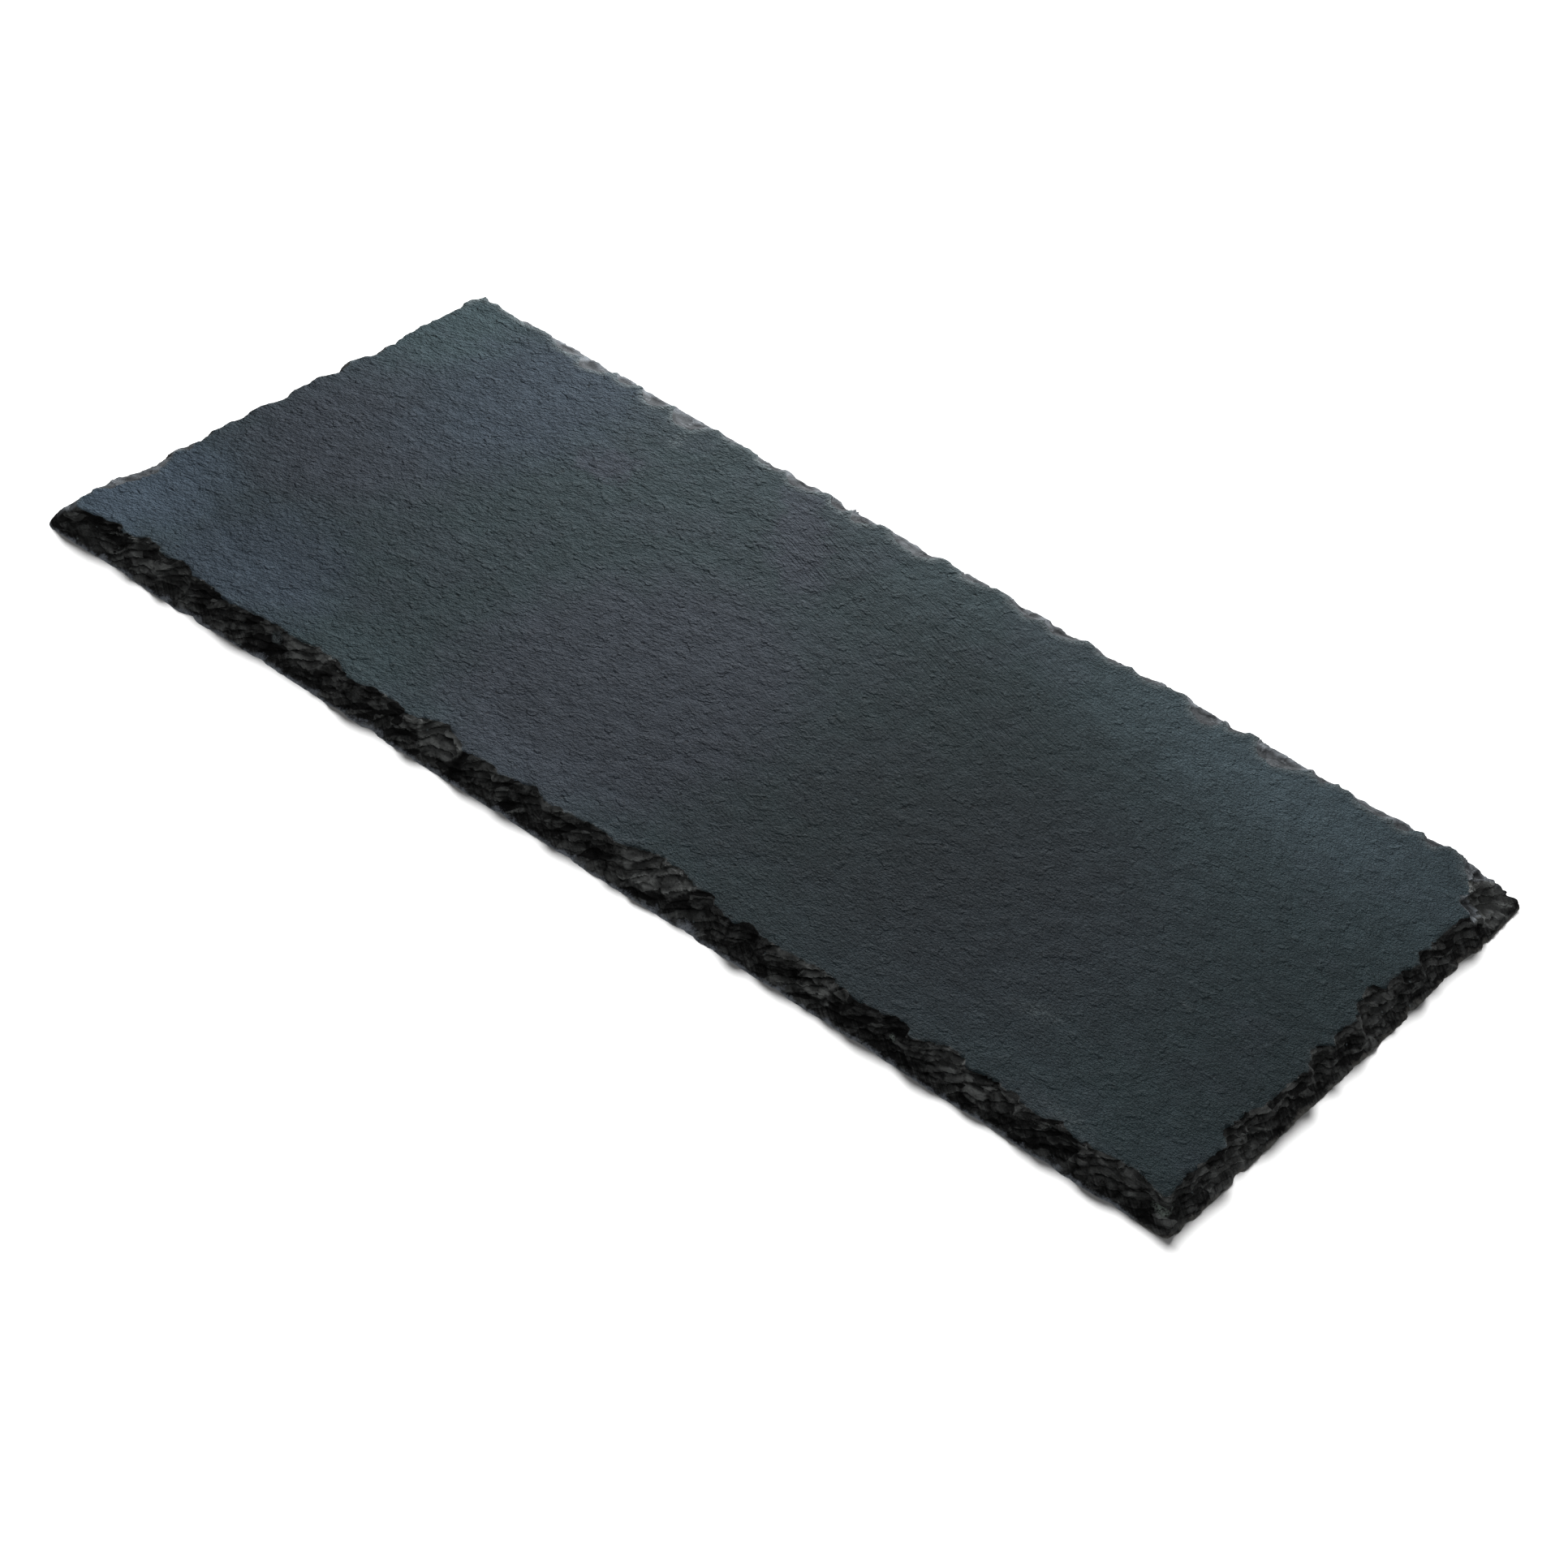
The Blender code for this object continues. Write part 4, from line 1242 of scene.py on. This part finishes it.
def riven_material(name, marked):
    """The split face. Where marked is true it has the stains and rubs of the upper face."""
    material, tree, shader = new_material(name)
    place = millimetres(tree)
    strayed = astray(place, *STAINS_STRAY)
    parts = axes(place)
    drift = cloud(place, 26.0, detail=3.0)
    grain = placed(stone_grain_group(), place, Grain_size=FACE_GRAIN)
    small_pits = specks(place, *FACE_PITS)

    violet = spread(drift, *VIOLET_DRIFT)
    blue = spread(cloud(place, 33.0), *BLUE_DRIFT)
    if marked:
        violet = highest(violet * 0.3, stains(strayed, VIOLET_STAINS))
        blue = stains(strayed, BLUE_STAINS)
    colour = blended(violet, SEA_GREEN, VIOLET)
    # lighter blue on the left: partly a hue of the stone, partly painted sheen
    colour = blended(blue, colour, STEEL_BLUE)
    colour = shaded(colour, spread(grain["Tone"], *GRAIN_SHADE))
    # painted shade: darker towards the right, where the light falls off
    colour = shaded(colour, spread(axes(strayed)["X"], *DARK_OVER))
    # painted shade: the pits are painted darker
    colour = shaded(colour, spread(small_pits, *PIT_SHADE))
    pale = pale_marks(place, FACE_SPECKS, *FACE_PALE)
    if marked:
        colour = shaded(colour, math.prod(one + 1.0 for one in each_stain(strayed, LIGHTER)))
        rubbed = stains(place, RUBS) * spread(grain["Height"], *RUB_GRAIN)
        # the rim of the far side is paler all along, in patches
        pale_far_rim = spread(parts["Y"], *PALE_FAR_RIM_OVER) * spread(attribute(tree, "grain"), *PALE_FAR_RIM_FADE)
        patches = spread(cloud(place, 3.0, detail=3.0), *PALE_FAR_RIM_PATCHES)
        pale = highest(pale, rubbed, pale_far_rim * patches)
    give(shader["Base Color"], blended(pale, colour, PALE))
    give(shader["Roughness"], spread(grain["Tone"], *FACE_ROUGHNESS))
    give(shader["Specular IOR Level"], FACE_GLOSS)

    lumps = turned_grain(place, *LUMPS, 4.0)
    dashes = spread(turned_grain(place, *DASHES, 2.0), *DASH_MASK, smooth=True)
    patchy = spread(cloud(place, 6.0), *PATCHY_RELIEF)
    coarse = spread(parts["X"], *FINE_OVER, *COARSE_RELIEF)
    finest = cloud(place, 0.5, detail=1.0) * spread(parts["X"], *FINE_OVER, *FINEST_RELIEF)
    ledges = stepped(cloud(place, 5.0, detail=3.0, rough=0.6) * LEDGE_COUNT)
    open_ledges = spread(cloud(place, 4.0), *LEDGE_MASK, smooth=True) * coarse
    streaks = grain_height(place, *STREAK_SIZE, STREAK_TURN, 2.0)
    streaky = stains(strayed, STREAKY) * spread(drift, *STREAK_PATCHES)
    height = (lumps - dashes * DASH_DEPTH) * patchy * coarse + finest
    height += ledges * open_ledges * LEDGE_RELIEF + streaks * streaky * STREAK_RELIEF
    height -= small_pits * PIT_RELIEF
    give(shader["Normal"], bump(height, GRAIN_RELIEF))
    return material


def broken_material():
    """The broken edge: thin layers of many tones, with painted black shadow in the crevices under their
    ledges.
    """
    material, tree, shader = new_material("broken slate")
    place = millimetres(tree)
    parts = axes(place)
    strayed = astray(place, *FLAKES_STRAY)
    dipped = axes(strayed)
    fabric = joined(tree, dipped["X"], dipped["Y"], maths("DOT_PRODUCT", strayed, (*LAYER_DIP, 1.0)))
    large, small = (
        placed(flakes_group(), fabric, Width=width, Thickness=thickness)
        for width, thickness in (LARGE_FLAKES, SMALL_FLAKES)
    )
    grain = placed(stone_grain_group(), place, Grain_size=EDGE_GRAIN)
    mottled = (grain["Tone"] - 0.5) + (cloud(place, 2.6, detail=3.0, rough=0.6) - 0.5)
    blue = attribute(tree, "blue")

    # crevices, painted near-black as the shadow under the ledges: wide in places, closed in others
    layer = attribute(tree, "layer")
    up_layer = maths("FRACT", layer + (cloud(place, 1.6, detail=3.0) - 0.5) * 0.7)
    wide = spread(cloud(fabric, 4.5), *CREVICE_WIDTH)
    deep = spread(up_layer, CREVICE_TOP - wide, 1.0)
    # painted highlights along the lips of the ledges, where they would catch the light
    lip_highlights = spread(up_layer, *LIP_HEIGHT) * spread(cloud(place, 1.8), *LIP_PATCHES)
    up_fine = maths("FRACT", cloud(place, 2.2) * 2.6 + layer * FINE_LAYERS)
    fine_wide = spread(cloud(fabric, 2.2), *FINE_CREVICE_WIDTH)
    fine = spread(up_fine, CREVICE_TOP - fine_wide, 1.0)
    lines = highest(deep, fine * FINE_CREVICES, attribute(tree, "crack")) * spread(blue, *PALE_CREVICES)

    # slanting streaks from the dressing tool, low on the edge
    along = parts["X"] + parts["Y"] + parts["Z"] * SCORE_SLANT
    streak = cloud(joined(tree, along, 0.0, parts["Z"] * SCORE_STRETCH), 0.9) - 0.5
    streak *= spread(parts["Z"], SCORE_TOP + 1, SCORE_TOP - 1)

    tone = attribute(tree, "tone") * CHIP_TONE + LEAST_TONE + streak
    tones = large["Tone"], small["Tone"], attribute(tree, "shard"), grain["Tone"]
    for value, share in zip(tones, TONE_SHARES):
        tone += (value - 0.5) * share
    tone = highest(maths("MINIMUM", tone, 1.0), 0.0)
    # painted light and shade: the shallow scars at the top of the pale sides are painted pale as lit, and
    # the steep stone below them dark as shaded
    pale_stone = spread(blue, *PALE_STONE)
    fallen = spread(mottled * SCAR_RAGGED + parts["Z"], SCAR_FOOT, SCAR_TOP, SCAR_FALL, 0.0)
    scar = spread(parts["Z"], SCAR_TOP, SCAR_TOP + SCAR_FADE) * spread(mottled, *SCAR_MOTTLE)
    tone = highest(tone * (1.0 - fallen * pale_stone), scar * pale_stone)

    colour = blended(tone, COAL, blended(pale_stone, WARM_GREY, BLUE_GREY))
    # painted light and shade: darker in the hollows, lighter on the ridges, with painted highlights on the
    # lips of the ledges
    painted_relief_light = spread(attribute(tree, "relief"), *RELIEF_PAINTED_SHADE) + lip_highlights * LIP_HIGHLIGHT
    # painted shadow, near-black, in the crevices under the ledges; the crack lines between cuts are
    # darkened with it
    colour = shaded(colour, painted_relief_light * spread(lines, *CREVICE_SHADE))
    colour = blended(pale_marks(place, EDGE_SPECKS, *EDGE_PALE), colour, PALE)
    # paler in a ragged band at the foot, blue-grey, and warm at the right end
    pale_foot = blended(spread(parts["X"], *WARM_PALE_FOOT_OVER), PALE_FOOT, WARM_PALE_FOOT)
    colour = blended(spread(mottled * PALE_FOOT_RAGGED + parts["Z"], *PALE_FOOT_OVER) * PALE_FOOT_SHARE, colour, pale_foot)
    for centre, radii, mineral in MINERALS:
        found = placed(stain_group(), strayed, Centre=centre, Radii=radii, Softness=0.5)["Stain"]
        colour = blended(found * spread(grain["Tone"], *MINERAL_GRAIN), colour, mineral)
    give(shader["Base Color"], colour)
    give(shader["Roughness"], spread(grain["Tone"], *EDGE_ROUGHNESS))
    give(shader["Specular IOR Level"], EDGE_GLOSS)

    small_relief = (small["Height"] + grain["Height"] + streak) * SMALL_RELIEF
    height = large["Height"] * LARGE_RELIEF + small_relief - lines * CREVICE_RELIEF
    give(shader["Normal"], bump(height, MM))
    return material


# -------- the piece, the stage, the lights


def faceted(data):
    """Shades the split faces smooth, and each facet of the broken edge flat."""
    data.shade_smooth()
    zones = np.zeros(len(data.polygons), int)
    data.attributes["zone"].data.foreach_get("value", zones)
    data.polygons.foreach_set("use_smooth", zones != EDGE)


def slate_slab():
    piece = bpy.data.objects.new("slate_slab", slab_mesh())
    bpy.context.scene.collection.objects.link(piece)
    modifier = piece.modifiers.new("riven grain", "NODES")
    modifier.node_group = riven_grain_tree()
    set_inputs(modifier, {
        "Riven face": riven_material("riven slate", marked=True),
        "Broken edge": broken_material(),
        "Underside": riven_material("riven slate underside", marked=False),
    })
    baked(piece)
    faceted(piece.data)
    return piece


FLOOR_SIZE = 12.0
FLOOR_COLOUR = (0.30, 0.30, 0.30, 1)


def pale_floor():
    half = FLOOR_SIZE / 2
    data = bpy.data.meshes.new("floor")
    corners = [(-half, -half, 0), (half, -half, 0), (half, half, 0), (-half, half, 0)]
    data.from_pydata(corners, [], [(0, 1, 2, 3)])
    floor = bpy.data.objects.new("floor", data)
    bpy.context.scene.collection.objects.link(floor)
    material, _, shader = new_material("pale floor")
    give(shader["Base Color"], FLOOR_COLOUR)
    give(shader["Roughness"], 1.0)
    give(shader["Specular IOR Level"], 0.0)
    data.materials.append(material)
    return floor


WHITE = (1, 1, 1, 1)
# The sky is brighter overhead than at the horizon.
SKY_OVERHEAD = 0.48
SKY_HORIZON = 0.22
# The soft light stands low behind the slab and to its left: where it is, and its width, in metres.
LIGHT_PLACE = (-0.22, 0.394, 0.217)
LIGHT_SIZE = 0.2
LIGHT_POWER = 3.5
# The floor has a light of its own, which keeps it white and leaves a narrow shadow at the slab's
# foot. It isn't passed on to the slab.
FLOOR_LIGHT_STRENGTH = 25.0
FLOOR_LIGHT_ANGLE = math.radians(24)
FLOOR_LIGHT_FROM = (-0.80, 0.72, 0.80)


def lamp(name, kind, lit):
    """A light that falls on one object alone."""
    data = bpy.data.lights.new(name, kind)
    made = bpy.data.objects.new(name, data)
    bpy.context.scene.collection.objects.link(made)
    receivers = bpy.data.collections.new("lit by the " + name)
    receivers.objects.link(lit)
    made.light_linking.receiver_collection = receivers
    made.visible_camera = False
    return made, data


def lights(piece, floor):
    world = bpy.data.worlds.new("studio")
    world.use_nodes = True
    sky = world.node_tree.nodes["Background"].inputs
    up = axes(add(world.node_tree, "ShaderNodeTexCoord")["Generated"])["Z"]
    give(sky["Color"], WHITE)
    give(sky["Strength"], spread(up, 0.0, 1.0, SKY_HORIZON, SKY_OVERHEAD))
    bpy.context.scene.world = world
    soft, data = lamp("soft light", "AREA", piece)
    data.shape = "DISK"
    data.size = LIGHT_SIZE
    data.energy = LIGHT_POWER
    soft.location = LIGHT_PLACE
    soft.rotation_euler = (-Vector(LIGHT_PLACE)).to_track_quat("-Z", "Y").to_euler()
    high, data = lamp("floor light", "SUN", floor)
    high.rotation_euler = (-Vector(FLOOR_LIGHT_FROM)).to_track_quat("-Z", "Y").to_euler()
    data.energy = FLOOR_LIGHT_STRENGTH
    data.angle = FLOOR_LIGHT_ANGLE
    data.cycles.max_bounces = 0
    bpy.context.scene.view_settings.view_transform = "Standard"


# The camera looks down on the slab from its near side, and leans a little to the left.
CAMERA_AZIMUTH = math.radians(28.69)
CAMERA_ELEVATION = math.radians(37.35)
CAMERA_LEAN = math.radians(13.13)
CAMERA_TARGET = Vector((20.5, -25.6, 0))
CAMERA_DISTANCE = 1096.5
CAMERA_LENS = 88.65
CAMERA_SENSOR = 36.0
CAMERA_SEES = 20.0  # metres


def camera():
    data = bpy.data.cameras.new("camera")
    data.sensor_width = CAMERA_SENSOR
    data.lens = CAMERA_LENS
    data.clip_end = CAMERA_SEES
    across = Vector((math.cos(CAMERA_AZIMUTH), math.sin(CAMERA_AZIMUTH), 0))
    level = Vector((math.sin(CAMERA_AZIMUTH), -math.cos(CAMERA_AZIMUTH), 0))
    back = level * math.cos(CAMERA_ELEVATION) + Vector((0, 0, math.sin(CAMERA_ELEVATION)))
    up = back.cross(across)
    side = across * math.cos(CAMERA_LEAN) + up * math.sin(CAMERA_LEAN)
    top = up * math.cos(CAMERA_LEAN) - across * math.sin(CAMERA_LEAN)
    eye = bpy.data.objects.new("camera", data)
    eye.matrix_world = Matrix.Translation((CAMERA_TARGET + back * CAMERA_DISTANCE) * MM) @ Matrix(
        (side, top, back)).transposed().to_4x4()
    bpy.context.scene.collection.objects.link(eye)
    bpy.context.scene.camera = eye


camera()
floor = pale_floor()
floor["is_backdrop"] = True
slab = slate_slab()
lights(slab, floor)
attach(slab, "root")
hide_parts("slab")
boxes = {"solid": solid_box, "visual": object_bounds()}
{name: [list(corner) for corner in box] for name, box in boxes.items()}
